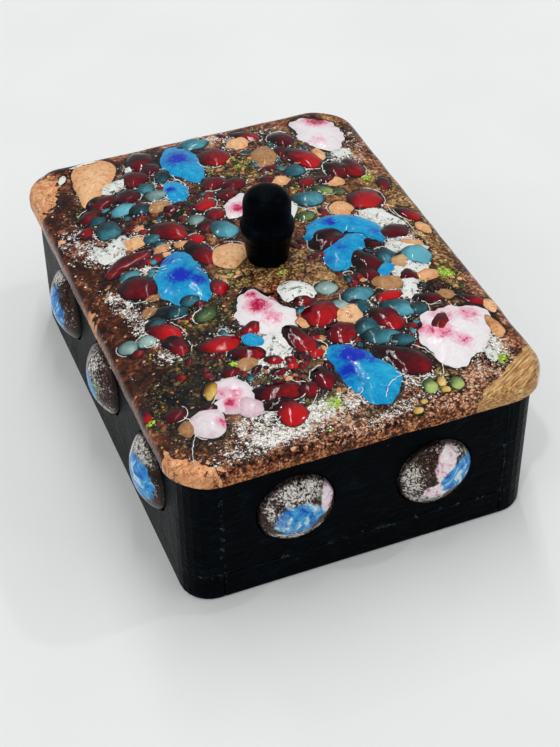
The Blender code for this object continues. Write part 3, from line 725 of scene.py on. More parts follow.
def copper_creases(x, y):
    """Depth of the creases in the bare copper, in metres."""
    level = np.clip(zone_level(x / MM, y / MM, BARE_ZONES) * 3, 0.0, 1.0)
    return COPPER_CREASE * np.clip(level * (1 - 2.6 * np.abs(noise_at(x, y, 280, 7.0))), 0.0, 1.0)


def uneven_edge(x, y):
    """Draw the lid's edge inwards by a little here and there."""
    share = np.clip(1 - lid_inset(x, y) / EDGE_WAVE_BAND, 0.0, 1.0)
    draw = EDGE_WAVE * np.clip(share * (0.5 + noise_at(x, y, 130, 1.0)), 0.0, 1.0)
    return x * (1 - draw / LID_HALF_X), y * (1 - draw / LID_HALF_Y)


def ground_values(points):
    """Levels of the zones at the ground's points, for its material."""
    x = points[:, 0] / MM
    y = points[:, 1] / MM
    inset = lid_inset(points[:, 0], points[:, 1]) / MM
    past_x = x - BARE_CORNER_POINT[0]
    past_y = y - BARE_CORNER_POINT[1]
    corner = past_x * BARE_CORNER_NORMAL[0] + past_y * BARE_CORNER_NORMAL[1]
    bare = zone_level(x, y, BARE_ZONES) * 2.4 - 1.2 + 2.2 * noise_at(x, y, 0.75, 3.0)
    far_side = np.maximum(x - LID_HALF_X / MM, y - LID_HALF_Y / MM) > -FAR_SIDE_BAND
    values = {name: zone_level(x, y, zones) for name, zones in ZONES.items() if name != "packed"}
    values["bare"] = np.maximum(bare, np.clip(corner / 1.5, -1.0, 1.0))
    values["brushed"] = (corner > -2.0).astype(float)
    values["lime"] = lime_level(x, y)
    # Distance to the glass, which the material uses for a painted shadow around it.
    values["near"] = np.clip(glass_clearance(x, y), -1.0, 4.0)
    values["inset"] = inset - (LID_SHOULDER_Z - points[:, 2]) / MM * 0.5
    values["glazed"] = far_side * np.clip(1.3 - inset / 2.4, 0.0, 1.0)
    return values


def lid_ground(material):
    """Make the lid: its enamelled ground, rounded edge and turned-down rim, with its thickness."""
    places_x = grid_places(LID_HALF_X)
    places_y = grid_places(LID_HALF_Y)
    count_x = len(places_x)
    count_y = len(places_y)
    grid_x, grid_y = np.meshgrid(places_x, places_y)
    x, y = round_corners(grid_x.ravel(), grid_y.ravel())
    relief = GROUND_WAVE * (noise_at(x, y, 220) + 0.35 * noise_at(x, y, 1100))
    level = np.clip(lid_inset(x, y) / LID_EDGE_RADIUS, 0.0, 1.0)
    z = lid_height(x, y) + relief * level - copper_creases(x, y)
    x, y = uneven_edge(x, y)
    corners = [row * count_x + column for row in range(count_y - 1) for column in range(count_x - 1)]
    faces = [(corner, corner + 1, corner + count_x + 1, corner + count_x) for corner in corners]
    loop = list(range(count_x))
    loop += [row * count_x + count_x - 1 for row in range(1, count_y)]
    loop += [(count_y - 1) * count_x + column for column in range(count_x - 2, -1, -1)]
    loop += [row * count_x for row in range(count_y - 2, 0, -1)]
    points = [np.column_stack((x, y, z))]
    above = loop
    for row in range(1, SKIRT_ROWS + 1):
        ring = points[0][loop].copy()
        ring[:, 2] += (LID_RIM_Z - ring[:, 2]) * row / SKIRT_ROWS
        points.append(ring)
        start = len(x) + (row - 1) * len(loop)
        below = list(range(start, start + len(loop)))
        for index in range(len(loop)):
            after = (index + 1) % len(loop)
            faces.append((above[index], below[index], below[after], above[after]))
        above = below
    points = np.concatenate(points)
    piece = new_object("lid_ground", points, faces, ground_values(points))
    thick = piece.modifiers.new("thickness", "SOLIDIFY")
    thick.thickness = LID_THICKNESS
    thick.offset = -1.0
    thick.use_even_offset = True
    finish_piece(piece, material, "lid_enamel", "lid_plate")


class Batch:
    """Collects the pieces of one glass family into one mesh."""

    def __init__(self):
        self.points = []
        self.faces = []
        self.values = {key: [] for key in ("rim", "painted_light", "tone", "cobalt", "pink")}

    def lay(self, x, y, rim, faces, middle, size, height, tone, pile, uneven=0.0):
        """Lay a piece of glass on the lid and its pile; places and size are in millimetres."""
        start = len(self.points)
        z = piled_height(x * MM, y * MM, pile) + dome(rim, height) + uneven
        # Painted light: each piece of glass is painted lighter on its side away from the lamps.
        painted_light = (x - middle[0]) * PAINTED_LIGHT_DIRECTION[0] + (y - middle[1]) * PAINTED_LIGHT_DIRECTION[1]
        self.points.extend(np.column_stack((x * MM, y * MM, z)))
        self.faces.extend(tuple(start + index for index in face) for face in faces)
        self.values["rim"].extend(rim)
        self.values["painted_light"].extend(np.clip(painted_light / size, -PAINTED_LIGHT_LIMIT, PAINTED_LIGHT_LIMIT))
        self.values["tone"].extend([tone] * len(x))
        self.values["cobalt"].extend(spot_level(x, y, COBALT_SPOTS))
        self.values["pink"].extend(spot_level(x, y, PINK_SPOTS))


def dome(reach, height):
    """Height of a fused drop, flat on top and steep at its edge."""
    return height * np.maximum(0.0, 1 - reach ** 2.6) ** 1.25 - GLASS_SINK * reach ** 8


def glass_height(half_width, top=GLASS_HEIGHT):
    """Height of a piece of glass in metres, from its half width in millimetres."""
    return min(top, GLASS_HEIGHT_SHARE * half_width * MM)


def piled_height(x, y, pile):
    """Height of the lid with the glass that already lies on it, at places in metres."""
    lift = np.zeros_like(x)
    for centre_x, centre_y, reach, level, height in pile:
        close = np.hypot(x - centre_x, y - centre_y) < reach
        if close.any():
            inside = np.clip(level(x[close] / MM, y[close] / MM), 0.0, 1.0)
            lift[close] = np.maximum(lift[close], dome(1 - inside, height) * (inside > 0))
    return lid_height(x, y) + lift * PILE_SHARE


def ring_reach(rings):
    """Reach of each ring of a dome, closer together near its edge."""
    return np.sin(np.arange(rings + 1) / rings * math.pi / 2)


def add_drop(batch, x, y, length, width, turn, tone, rng, pile, rings=GLASS_RINGS, segments=GLASS_SEGMENTS):
    """Add one drop: an oval with a little egg shape, bend and wobble of its own."""
    egg = rng.uniform(-DROP_EGG, DROP_EGG)
    bend = rng.uniform(-DROP_BEND, DROP_BEND)
    swell = 1.0
    angle = np.append(0.0, np.tile(circle(segments), rings))
    rim = np.append(0.0, np.repeat(ring_reach(rings)[1:], segments))
    for k in range(2, 7):
        size = rng.uniform(-DROP_WOBBLE, DROP_WOBBLE) / (k - 1) ** 0.6
        swell = swell + size * np.cos(k * angle + rng.uniform(0, 2 * math.pi))
    along = rim * swell * np.cos(angle)
    across = rim * swell * np.sin(angle) * (1 + egg * along) + bend * along ** 2
    move_x, move_y = turned(along * length / 2, across * width / 2, turn)
    faces = [(0, 1 + segment, 1 + (segment + 1) % segments) for segment in range(segments)]
    faces += grid_faces(rings, segments, start=1)
    half = min(length, width) / 2
    batch.lay(x + move_x, y + move_y, rim, faces, (x, y), half, glass_height(width / 2), tone, pile)


def round_end(place, way, slope, side):
    """Rows of a run's round end, from its tip inwards."""
    rows = []
    radius = place[2]
    for angle in np.linspace(0, math.pi / 2 + side * math.asin(slope), RUN_END_ROWS)[:-1]:
        end = (math.cos(angle) + side * slope) / (1 + side * slope)
        middle = place[:2] + side * way * radius * math.cos(angle)
        rows.append((middle, way, radius * math.sin(angle), radius, end))
    return rows


def run_rows(run):
    """Rows across a run: middle, direction, half width, radius, and how far it is into an end."""
    line = run_points(run, RUN_STEPS)
    moves = np.gradient(line[:, :2], axis=0)
    lengths = np.linalg.norm(moves, axis=1)
    ways = moves / lengths[:, None]
    slopes = np.clip(np.gradient(line[:, 2]) / lengths, -RUN_MOST_SLOPE, RUN_MOST_SLOPE)
    rows = round_end(line[0], ways[0], slopes[0], -1)
    for place, way, radius, slope in zip(line[:, :2], ways, line[:, 2], slopes):
        rows.append((place - way * radius * slope, way, radius * math.sqrt(1 - slope ** 2), radius, 0.0))
    rows += round_end(line[-1], ways[-1], slopes[-1], 1)[::-1]
    return rows, line[len(line) // 2]


def add_run(batch, run, tone, rng, pile):
    """Add a melt of several drops along a smooth line, with round ends."""
    rows, middle = run_rows(run)
    widest = max(row[3] for row in rows)
    phase = rng.uniform(0, 100)
    points = []
    rim = []
    for place, along, half, radius, end in rows:
        side = np.array((-along[1], along[0]))
        for step in range(RUN_ACROSS + 1):
            share = math.sin((step / RUN_ACROSS - 0.5) * math.pi)
            spot = Vector((place[0] * 0.42 + phase, place[1] * 0.42, np.sign(share) * 3))
            points.append(place + side * half * share * (1 + RUN_WOBBLE * noise.noise(spot)))
            rim.append(min(1.0, math.hypot(end, share * (half / radius if end else 1.0))))
    x, y = np.array(points).T
    faces = grid_faces(len(rows), RUN_ACROSS + 1, closed=False)
    height = glass_height(widest, MELT_HEIGHT)
    batch.lay(x, y, np.array(rim), faces, middle, widest, height, tone, pile)


def melt_reach(points, centre_x, centre_y, angle):
    """Distance from a melt's middle to the far side of its circles, in one direction."""
    reach = 0.5
    for x, y, radius in points:
        along = (x - centre_x) * math.cos(angle) + (y - centre_y) * math.sin(angle)
        inside = radius ** 2 - ((x - centre_x) ** 2 + (y - centre_y) ** 2 - along ** 2)
        if inside > 0:
            reach = max(reach, along + math.sqrt(inside))
    return reach


def add_melt(batch, circles, family, tone, rng, pile):
    """Add a broad melt: a low mound over its circles, with a ragged outline and an uneven top."""
    line = run_points(circles, 20)
    middle = line[len(line) // 2, :2]
    widest = max(radius for _, _, radius in circles)
    phase = rng.uniform(0, 100)
    outline = []
    for angle in circle(MELT_SEGMENTS):
        reach = sum(melt_reach(line, *middle, angle + lean) for lean in (-0.07, 0.0, 0.07)) / 3
        place = Vector((math.cos(angle), math.sin(angle), phase))
        wobble = sum(size * noise.noise(place * scale) for scale, size in MELT_WOBBLES)
        outline.append(reach * (1 + MELT_RAGGED[family] * wobble))
    rim = np.repeat(ring_reach(MELT_RINGS), MELT_SEGMENTS)
    reach = rim * np.tile(outline, MELT_RINGS + 1)
    angle = np.tile(circle(MELT_SEGMENTS), MELT_RINGS + 1)
    x = middle[0] + reach * np.cos(angle)
    y = middle[1] + reach * np.sin(angle)
    uneven = MELT_UNEVEN * noise_at(x, y, 0.42, phase) * (1 - rim ** 4)
    faces = grid_faces(MELT_RINGS + 1, MELT_SEGMENTS)
    height = glass_height(widest, MELT_HEIGHT)
    batch.lay(x, y, rim, faces, middle, widest, height, tone, pile, uneven)


def drop_mound(drop):
    """Describe a drop to what is piled on it: middle, reach, level and height."""
    _, x, y, length, width, _, _ = drop
    height = glass_height(min(length, width) / 2)
    return x * MM, y * MM, max(length, width) / 2 * MM, lambda x, y: drop_level(x, y, drop), height


def run_mound(points):
    """Describe a run or melt in the same way."""
    line = run_points(points, RUN_STEPS)
    middle = line[:, :2].mean(axis=0)
    reach = np.hypot(*(line[:, :2] - middle).T).max() + line[:, 2].max()
    height = glass_height(line[:, 2].max(), MELT_HEIGHT)
    return middle[0] * MM, middle[1] * MM, reach * MM, lambda x, y: run_level(x, y, points), height


def thread_lines(rng):
    """Lines of the threads, the rings, and the pale rims of the drops that are painted highlights, in
    millimetres.
    """
    lines = [run_points([(*place, 1.0) for place in thread], THREAD_STEPS)[:, :2] for thread in THREADS]
    for x, y, radius in RINGS:
        angles = np.linspace(0.0, 2 * math.pi, 25)
        lines.append(np.column_stack((x + radius * np.cos(angles), y + radius * 0.8 * np.sin(angles))))
    # Painted highlights: short white arcs along the edges of the wider drops.
    for _, x, y, length, width, turn, _ in DROPS:
        if width < 4 or rng.random() > PAINTED_HIGHLIGHT_RIM_CHANCE:
            continue
        start = rng.uniform(0, 2 * math.pi)
        angles = np.linspace(start, start + rng.uniform(0.6, 2.5), 22)
        reach = DROP_SWELL * 1.04 / 2
        move_x, move_y = turned(np.cos(angles) * length * reach, np.sin(angles) * width * reach, turn)
        lines.append(np.column_stack((x + move_x, y + move_y)))
    return lines


def add_threads(pile, rng):
    """Lay thin white threads and rings of glass over the lumps, and short white arcs along the drops' edges
    as painted highlights.
    """
    lines = thread_lines(rng)
    data = bpy.data.curves.new("threads_and_painted_highlights", "CURVE")
    data.dimensions = "3D"
    data.bevel_depth = THREAD_RADIUS
    data.bevel_resolution = 2
    data.use_fill_caps = True
    for line in lines:
        wave = rng.uniform(0, 100)
        across = [noise.noise(Vector((a * 0.9, wave, b * 0.9))) for a, b in line]
        x = (line[:, 0] + THREAD_WANDER * noise_at(*line.T, 0.9, wave)) * MM
        y = (line[:, 1] + THREAD_WANDER * np.array(across)) * MM
        z = piled_height(x, y, pile) + THREAD_RADIUS * 0.5
        thin = 0.55 + 0.8 * np.abs(noise_at(x, y, 900, wave))
        spline = data.splines.new("POLY")
        spline.points.add(len(line) - 1)
        for index, point in enumerate(spline.points):
            point.co = (x[index], y[index], z[index], 1.0)
            point.radius = thin[index]
    piece = bpy.data.objects.new("threads_and_painted_highlights", data)
    bpy.context.scene.collection.objects.link(piece)
    finish_piece(piece, thread_material(), "lid_enamel")


def add_chips(batches, rng):
    """Scatter small chips of crushed glass over the ground, denser where their zones are."""
    draw = np.random.default_rng(CHIP_SEED)
    x = draw.uniform(-LID_HALF_X, LID_HALF_X, CHIP_TRIES) / MM
    y = draw.uniform(-LID_HALF_Y, LID_HALF_Y, CHIP_TRIES) / MM
    chance = draw.random(CHIP_TRIES)
    free = (lid_inset(x * MM, y * MM) > CHIP_INSET) & (np.hypot(x, y) > CHIP_KNOB_GAP)
    free &= glass_clearance(x, y) > CHIP_GLASS_GAP
    for family, count, smallest, largest, prefer in CHIPS:
        fit = free & (chance < zone_level(x, y, ZONES[prefer]) ** 2)
        for index in np.flatnonzero(fit)[:count]:
            free[index] = False
            size = rng.uniform(smallest, largest)
            add_drop(batches[family], x[index], y[index], size * rng.uniform(1.0, 1.7), size,
                     rng.uniform(0, 180), rng.uniform(0.0, 0.55), rng, [], rings=4, segments=12)


def crumb_field():
    """Draw the places where crumbs may lie, in millimetres, with how far each is from the glass."""
    draw = np.random.default_rng(CRUMB_SEED)
    x = draw.uniform(-LID_HALF_X, LID_HALF_X, CRUMB_TRIES) / MM
    y = draw.uniform(-LID_HALF_Y, LID_HALF_Y, CRUMB_TRIES) / MM
    clearance = glass_clearance(x, y)
    free = (lid_inset(x * MM, y * MM) > CRUMB_INSET) & (np.hypot(x, y) > CRUMB_KNOB_GAP)
    free &= clearance > CRUMB_GLASS_GAP
    return x[free], y[free], clearance[free]


def crumb_chance(name, x, y, clearance):
    """How likely a crumb is to lie at each place."""
    def level(zone):
        return zone_level(x, y, ZONES[zone])

    if name == "lime":
        return np.maximum(np.clip(lime_level(x, y) * 1.2, 0, 1) ** 2, 0.004)
    if name == "tan":
        strewn = np.maximum(level("olive"), 0.7 * level("gold"))
        return np.maximum(0.55 * strewn ** 2, 0.10 * level("grit"))
    white = np.clip(level("white"), 0.0, 1.1)
    # White crumbs gather along the glass's edges: partly crushed glass, partly painted glints.
    edge = (clearance < 0.50) * np.maximum(level("packed"), white)
    return np.maximum(np.maximum(white ** 2, 0.03 * level("rust")), 0.75 * np.clip(edge, 0.0, 1.0))


def crumb_material(name, dark, bright):
    """Crushed glass: crumbs of different tones."""
    shade = Shade("crumbs_" + name)
    fine = shade.noise(0.0003, 2.0, 0.5)
    light = shade.times(fine, 0.5, shade.times(shade.attribute("tone"), 0.8))
    colour = shade.ramp(light, (0.30, dark), (0.75, bright))
    shade.set(Base_Color=colour, Roughness=0.12, Specular_IOR_Level=0.35)
    shade.bump(fine, 0.00003, 0.4)
    return shade.material


def add_crumbs(name, count, smallest, largest, dark, bright, seed, field):
    """Strew small sharp crumbs, each a low cone with a crooked outline, in drifts."""
    draw = np.random.default_rng(seed)
    x, y, clearance = field
    drift = np.clip(0.5 + 1.9 * noise_at(x, y, 0.42, seed), 0.03, 1.0)
    chance = crumb_chance(name, x, y, clearance) * drift
    keep = np.flatnonzero(draw.random(len(x)) < chance)[:count]
    total = len(keep)
    size = (smallest + (largest - smallest) * draw.random(total) ** 2) * MM
    turn = draw.uniform(0, 2 * math.pi, total)
    angles = turn[:, None] + circle(CRUMB_SIDES)
    reach = size[:, None] * draw.uniform(0.45, 1.25, (total, CRUMB_SIDES))
    around_x = x[keep, None] * MM + reach * np.cos(angles)
    around_y = y[keep, None] * MM + reach * np.sin(angles) * 0.8
    top_x = x[keep] * MM + size * draw.uniform(-0.3, 0.3, total)
    top_y = y[keep] * MM + size * draw.uniform(-0.3, 0.3, total)
    foot = lid_height(around_x, around_y) - CRUMB_SINK
    top = lid_height(top_x, top_y) + size * draw.uniform(0.35, 0.8, total)
    feet = np.stack((around_x, around_y, foot), axis=2).reshape(-1, 3)
    faces = []
    for index in range(total):
        first = total + index * CRUMB_SIDES
        faces += [(index, first + side, first + (side + 1) % CRUMB_SIDES) for side in range(CRUMB_SIDES)]
    tone = draw.random(total)
    values = {"tone": np.concatenate((tone, np.repeat(tone, CRUMB_SIDES)))}
    points = np.concatenate((np.column_stack((top_x, top_y, top)), feet))
    piece = new_object("crumbs_" + name, points, faces, values)
    piece.data.shade_flat()
    finish_piece(piece, crumb_material(name, dark, bright), "lid_enamel")


# Shares of painted light, clouds and grains in the glass's tone, of its rim darkened as painted shade, and
# the shift of the whole
CLEAR_GLASS = (0.40, 0.80, 0.20, -0.38, -0.46)
OPAQUE_GLASS = (0.06, 0.60, 0.50, -0.16, -0.54)


def glass_material(family):
    """Glass of one colour family: clouds of tone, a rim darkened as painted shade and a front lightened as
    painted light.
    """
    dark, middle, bright = GLASS_COLOURS[family]
    clear = family in ("red", "teal", "grey", "green", "amber")
    painted_light, clouds, grains, painted_rim_shade, shift = CLEAR_GLASS if clear else OPAQUE_GLASS
    shade = Shade("glass_" + family)
    fine = shade.noise(0.0009, 4.0, 0.65)
    rim = shade.attribute("rim")
    # Painted light: the glass is lighter on its side away from the lamps.
    light = shade.times(shade.attribute("painted_light"), painted_light, shade.attribute("tone"))
    light = shade.times(shade.noise(0.0034, 4.0, 0.58, 0.8), clouds, light)
    light = shade.times(fine, grains, light)
    # Painted shade: the glass darkens towards its rim.
    light = shade.times(shade.math("POWER", rim, 3.0), painted_rim_shade, light)
    light = shade.math("ADD", light, shift)
    if family == "blue":
        swirl = shade.noise(0.0032, 6.0, 0.70, 1.4)
        light = shade.times(swirl, 1.5, shade.times(light, 0.5, -0.40))
        light = shade.times(shade.attribute("cobalt"), -0.40, light)
    colour = shade.ramp(light, (0.05, dark), (0.45, middle), (0.95, bright))
    if family == "blue":
        deep = shade.times(shade.noise(0.0017, 5.0, 0.70, 1.0), 1.2, shade.attribute("cobalt"))
        colour = shade.mix(shade.step(deep, 1.08, 1.55), colour, COBALT)
        pale = shade.step(shade.noise(0.0036, 6.0, 0.72, 2.0), 0.61, 0.66)
        colour = shade.mix(shade.times(pale, 0.50), colour, (150, 208, 230))
    if family in ("pinkwhite", "pink"):
        vein = shade.near(shade.noise(0.0040, 6.0, 0.68, 1.4), 0.5, 0.050)
        patch = shade.times(shade.noise(0.0024, 6.0, 0.74, 1.6), 1.7, shade.attribute("pink"))
        colour = shade.mix(shade.step(patch, 0.86, 1.62), colour, (228, 136, 166))
        colour = shade.mix(shade.step(shade.times(vein, 0.22, patch), 1.54, 1.80), colour, MAGENTA)
    if family == "white":
        hole = shade.step(shade.noise(0.0021, 6.0, 0.75, 0.8), 0.455, 0.415)
        colour = shade.mix(shade.times(hole, 0.9), colour, (52, 44, 34))
    if family in ("peach", "tan"):
        speckle = shade.step(shade.noise(0.0010, 5.0, 0.72, 0.6), 0.52, 0.64)
        colour = shade.mix(shade.times(speckle, 0.55), colour, (132, 74, 38))
    # A near-black outline at the glass's edge: partly firescale, partly painted shade where the glass meets
    # the ground.
    edge = shade.step(shade.times(fine, 0.20, rim), 0.90, 1.06) if clear else shade.step(rim, 0.945, 0.99)
    colour = shade.mix(shade.times(edge, 0.92), colour, (8, 5, 4) if clear else (40, 26, 20))
    shade.set(Base_Color=colour, Roughness=0.03, Specular_IOR_Level=0.22)
    shade.bump(shade.noise(0.0022, 3.0, 0.5), 0.00020, 0.7)
    return shade.material


def thread_material():
    """Opaque white glass of the threads and of the painted highlights along the drops' edges, a little broken
    up.
    """
    shade = Shade("glass_thread")
    fine = shade.noise(0.0008, 3.0, 0.6)
    shade.set(Base_Color=shade.ramp(fine, (0.36, (120, 110, 100)), (0.48, (240, 238, 232))), Roughness=0.2)
    shade.bump(fine, 0.00004, 0.5)
    return shade.material


# Tints of the ground: zone, share of the grain, where it starts and is full, and its colours
GROUND_TINTS = (
    ("gold", 0.8, 0.70, 1.25, ((0.22, (28, 16, 8)), (0.40, (82, 50, 24)), (0.54, (136, 92, 48)),
                               (0.70, (190, 148, 94)), (0.86, (230, 206, 160)))),
    ("olive", 0.9, 0.75, 1.30, ((0.24, (8, 7, 4)), (0.42, (38, 30, 14)), (0.56, (84, 68, 32)),
                                (0.70, (142, 124, 62)), (0.84, (206, 196, 120)))),
    ("rust", 0.6, 0.55, 1.00, ((0.24, (15, 5, 3)), (0.42, (42, 17, 9)), (0.56, (72, 32, 16)),
                               (0.68, (112, 58, 31)), (0.82, (194, 150, 106)))),
)


def copper_look(shade):
    """Bare copper, brushed or creased: its colour, level, dark outline and relief."""
    streak = shade.noise(0.00045, 4.0, 0.65, 0.2, shade.stretched(32, 9.0))
    mottle = shade.noise(0.0022, 6.0, 0.72, 0.8)
    crumple = shade.noise(0.0052, 2.0, 0.4, 1.8)
    tear = shade.near(shade.noise(0.0030, 3.0, 0.5, 1.2), 0.46, 0.016)
    crease = shade.math("MAXIMUM", shade.near(crumple, 0.5, 0.020), shade.times(tear, 0.7))
    brushed = shade.ramp(streak, (0.30, (92, 62, 32)), (0.43, (158, 114, 68)), (0.55, (202, 156, 102)),
                         (0.70, (240, 208, 156)))
    plain = shade.ramp(mottle, (0.32, (156, 88, 52)), (0.44, (212, 144, 98)), (0.58, (232, 176, 128)),
                       (0.72, (248, 210, 170)))
    # Painted shade: the creases and tears of the crumpled copper are darkened.
    plain = shade.mix(shade.times(crease, 0.85), plain, (84, 38, 20))
    colour = shade.mix(shade.attribute("brushed"), plain, brushed)
    level = shade.times(shade.noise(0.0030, 6.0, 0.72), 2.2, shade.attribute("bare"))
    worn = shade.times(streak, shade.attribute("brushed"), shade.times(crumple, 2.5, mottle))
    return colour, shade.step(level, 1.08, 1.16), shade.near(level, 1.08, 0.10, 0.02), worn


def ground_material():
    """Fired ground: brown flux full of grains, white and lime specks, bare copper patches, and a painted
    shadow around the glass.
    """
    shade = Shade("lid_ground")
    large = shade.noise(0.0075, 5.0, 0.62, 0.8)
    grain = shade.noise(0.0011, 5.0, 0.72)
    fine = shade.noise(0.00042, 3.0, 0.7)
    distance, pick = shade.cells(0.00050)
    grit = shade.attribute("grit")
    body = shade.times(shade.from_middle(pick), shade.times(grit, 0.46, 0.10), 0.5)
    body = shade.times(shade.from_middle(grain), 1.0, body)
    body = shade.times(shade.from_middle(large), 1.2, body)
    body = shade.times(grit, 0.05, body)
    colour = shade.ramp(body, (0.22, (14, 6, 4)), (0.38, (54, 24, 14)), (0.52, (116, 62, 38)),
                        (0.65, (170, 108, 74)), (0.80, (228, 184, 152)))
    for name, share, low, high, stops in GROUND_TINTS:
        level = shade.step(shade.times(grain, share, shade.attribute(name)), low, high)
        colour = shade.mix(level, colour, shade.ramp(body, *stops))
    vein = shade.near(shade.noise(0.0060, 6.0, 0.70, 1.2), 0.5, 0.045)
    deep = shade.times(vein, 0.22, shade.times(shade.from_middle(grain), 0.5, body))
    deep = shade.ramp(deep, (0.40, (3, 3, 3)), (0.60, (20, 15, 10)), (0.76, (74, 54, 28)),
                      (0.92, (140, 116, 62)))
    dark = shade.step(shade.math("ADD", large, shade.attribute("dark")), 0.70, 1.15)
    colour = shade.mix(dark, colour, deep)
    # Painted shadow: the ground darkens to near-black close to the glass.
    painted_glass_shadow = shade.step(shade.times(grain, 1.2, shade.attribute("near")), 1.50, 0.75)
    colour = shade.mix(shade.times(painted_glass_shadow, 0.9), colour, (7, 5, 4))
    gap = shade.times(shade.step(distance, 0.34, 0.66), grit)
    colour = shade.mix(shade.times(gap, 0.55), colour, (18, 9, 6))
    specks = shade.times(shade.attribute("white"), 0.20, shade.noise(0.00095, 5.0, 0.74, 0.5))
    specks = shade.times(shade.noise(0.0034, 3.0, 0.6), 0.36, specks)
    patch = shade.step(specks, 0.875, 0.925)
    white = shade.ramp(fine, (0.34, (150, 138, 122)), (0.46, (222, 216, 206)), (0.6, (252, 252, 250)))
    colour = shade.mix(patch, colour, white)
    lime = shade.times(shade.noise(0.0010, 5.0, 0.75, 1.2), 1.9, shade.attribute("lime"))
    lime_colour = shade.ramp(fine, (0.35, (78, 108, 22)), (0.6, (168, 204, 60)))
    colour = shade.mix(shade.step(lime, 1.76, 1.86), colour, lime_colour)
    inset = shade.times(large, 1.6, shade.attribute("inset"))
    rim = shade.ramp(body, (0.24, (18, 7, 3)), (0.46, (72, 32, 14)), (0.62, (134, 70, 32)),
                     (0.82, (208, 138, 80)))
    colour = shade.mix(shade.step(inset, 1.2, -0.8), colour, rim)
    copper, bare, outline, worn = copper_look(shade)
    colour = shade.mix(bare, colour, copper)
    colour = shade.mix(shade.times(outline, 0.75), colour, (34, 14, 8))
    shade.set(Base_Color=colour, Metallic=shade.times(bare, 0.28))
    shade.set(Specular_IOR_Level=0.13, Roughness=shade.times(bare, 0.34, 0.10))
    shade.set(Coat_Weight=shade.attribute("glazed"), Coat_Roughness=0.10, Coat_IOR=1.7)
    relief = shade.times(shade.times(worn, bare), 0.8, shade.times(patch, 0.6, body))
    shade.bump(relief, 0.00020, 0.6)
    return shade.material


def painted_wood():
    """Near-black brushed paint over wood: soft sheen, brush marks, and pale scuffs here and there."""
    shade = Shade("painted_wood")
    brush = shade.noise(0.0016, 6.0, 0.65, 0.6, shade.stretched(0, 5.0))
    patch = shade.noise(0.0070, 5.0, 0.65, 0.8)
    fine = shade.noise(0.0006, 3.0, 0.6)
    body = shade.times(brush, 0.5, shade.times(patch, 0.5))
    colour = shade.ramp(body, (0.38, (0, 1, 3)), (0.54, (1, 5, 9)), (0.68, (10, 20, 28)))
    joint = shade.math("ABSOLUTE", shade.from_middle(shade.axis("Z"), BASE_JOINT_Z))
    post = shade.from_middle(shade.math("ABSOLUTE", shade.axis("X")), POST_JOINT_X)
    joint = shade.step(shade.math("MINIMUM", joint, shade.math("ABSOLUTE", post)), 0.0012, 0.0002)
    scuff = shade.times(joint, 0.13, shade.noise(0.0045, 6.0, 0.75, 1.5))
    scuff = shade.times(shade.step(scuff, 0.66, 0.72), shade.step(fine, 0.44, 0.58))
    colour = shade.mix(shade.times(scuff, 0.75), colour, (66, 82, 82))
    shade.set(Base_Color=colour, Specular_IOR_Level=0.018, Roughness=shade.times(patch, 0.30, 0.16))
    shade.bump(shade.times(fine, 0.12, shade.times(brush, 0.5, patch)), 0.00050, 0.7)
    return shade.material


def paint_lines():
    """Lines of the joints between the boards, as places with the direction outwards at each."""
    half_x = BOARD_HIGH.x
    half_y = BOARD_HIGH.y
    around = []
    for side_x, side_y, start in ((1, 1, 0), (-1, 1, 90), (-1, -1, 180), (1, -1, 270)):
        corner = Vector((side_x * (half_x - BOARD_CORNER_RADIUS), side_y * (half_y - BOARD_CORNER_RADIUS),
                         BASE_JOINT_Z))
        for step in range(9):
            angle = math.radians(start + step * 90 / 8)
            outward = Vector((math.cos(angle), math.sin(angle), 0.0))
            around.append((corner + outward * BOARD_CORNER_RADIUS, outward))
    lines = [around + around[:1]]
    for side_x in (-1, 1):
        for side_y in (-1, 1):
            heights = (BASE_JOINT_Z, POST_JOINT_TOP)
            places = [Vector((side_x * POST_JOINT_X, side_y * half_y, z)) for z in heights]
            lines.append([(place, Vector((0.0, side_y, 0.0))) for place in places])
    return lines


def joint_paint(material):
    """Add the uneven ridges of paint that fill the joints between the boards."""
    points = []
    faces = []
    shares = (-1.0, -0.55, 0.0, 0.55, 1.0)
    for line in paint_lines():
        rows = []
        for (place, outward), (next_place, next_outward) in zip(line, line[1:]):
            count = max(1, round((next_place - place).length / PAINT_STEP))
            rows += [(place.lerp(next_place, i / count), outward.lerp(next_outward, i / count).normalized())
                     for i in range(count)]
        rows.append(line[-1])
        faces += grid_faces(len(rows), len(shares), closed=False, start=len(points))
        for index, (place, outward) in enumerate(rows):
            ahead = rows[min(index + 1, len(rows) - 1)][0] - rows[max(index - 1, 0)][0]
            side = outward.cross(ahead).normalized()
            half = PAINT_RIDGE_HALF * (1 + 0.5 * noise.noise(place * 700))
            height = PAINT_RIDGE_HEIGHT * (1 + 0.9 * noise.noise(place * 430))
            middle = place + side * PAINT_RIDGE_HALF * 0.5 * noise.noise(place * 260)
            for share in shares:
                rise = height * (1 - share ** 2) - PAINT_SINK
                points.append(middle + side * half * share + outward * rise)
    finish_piece(new_object("joint_paint", points, faces), material, "painted_wood")


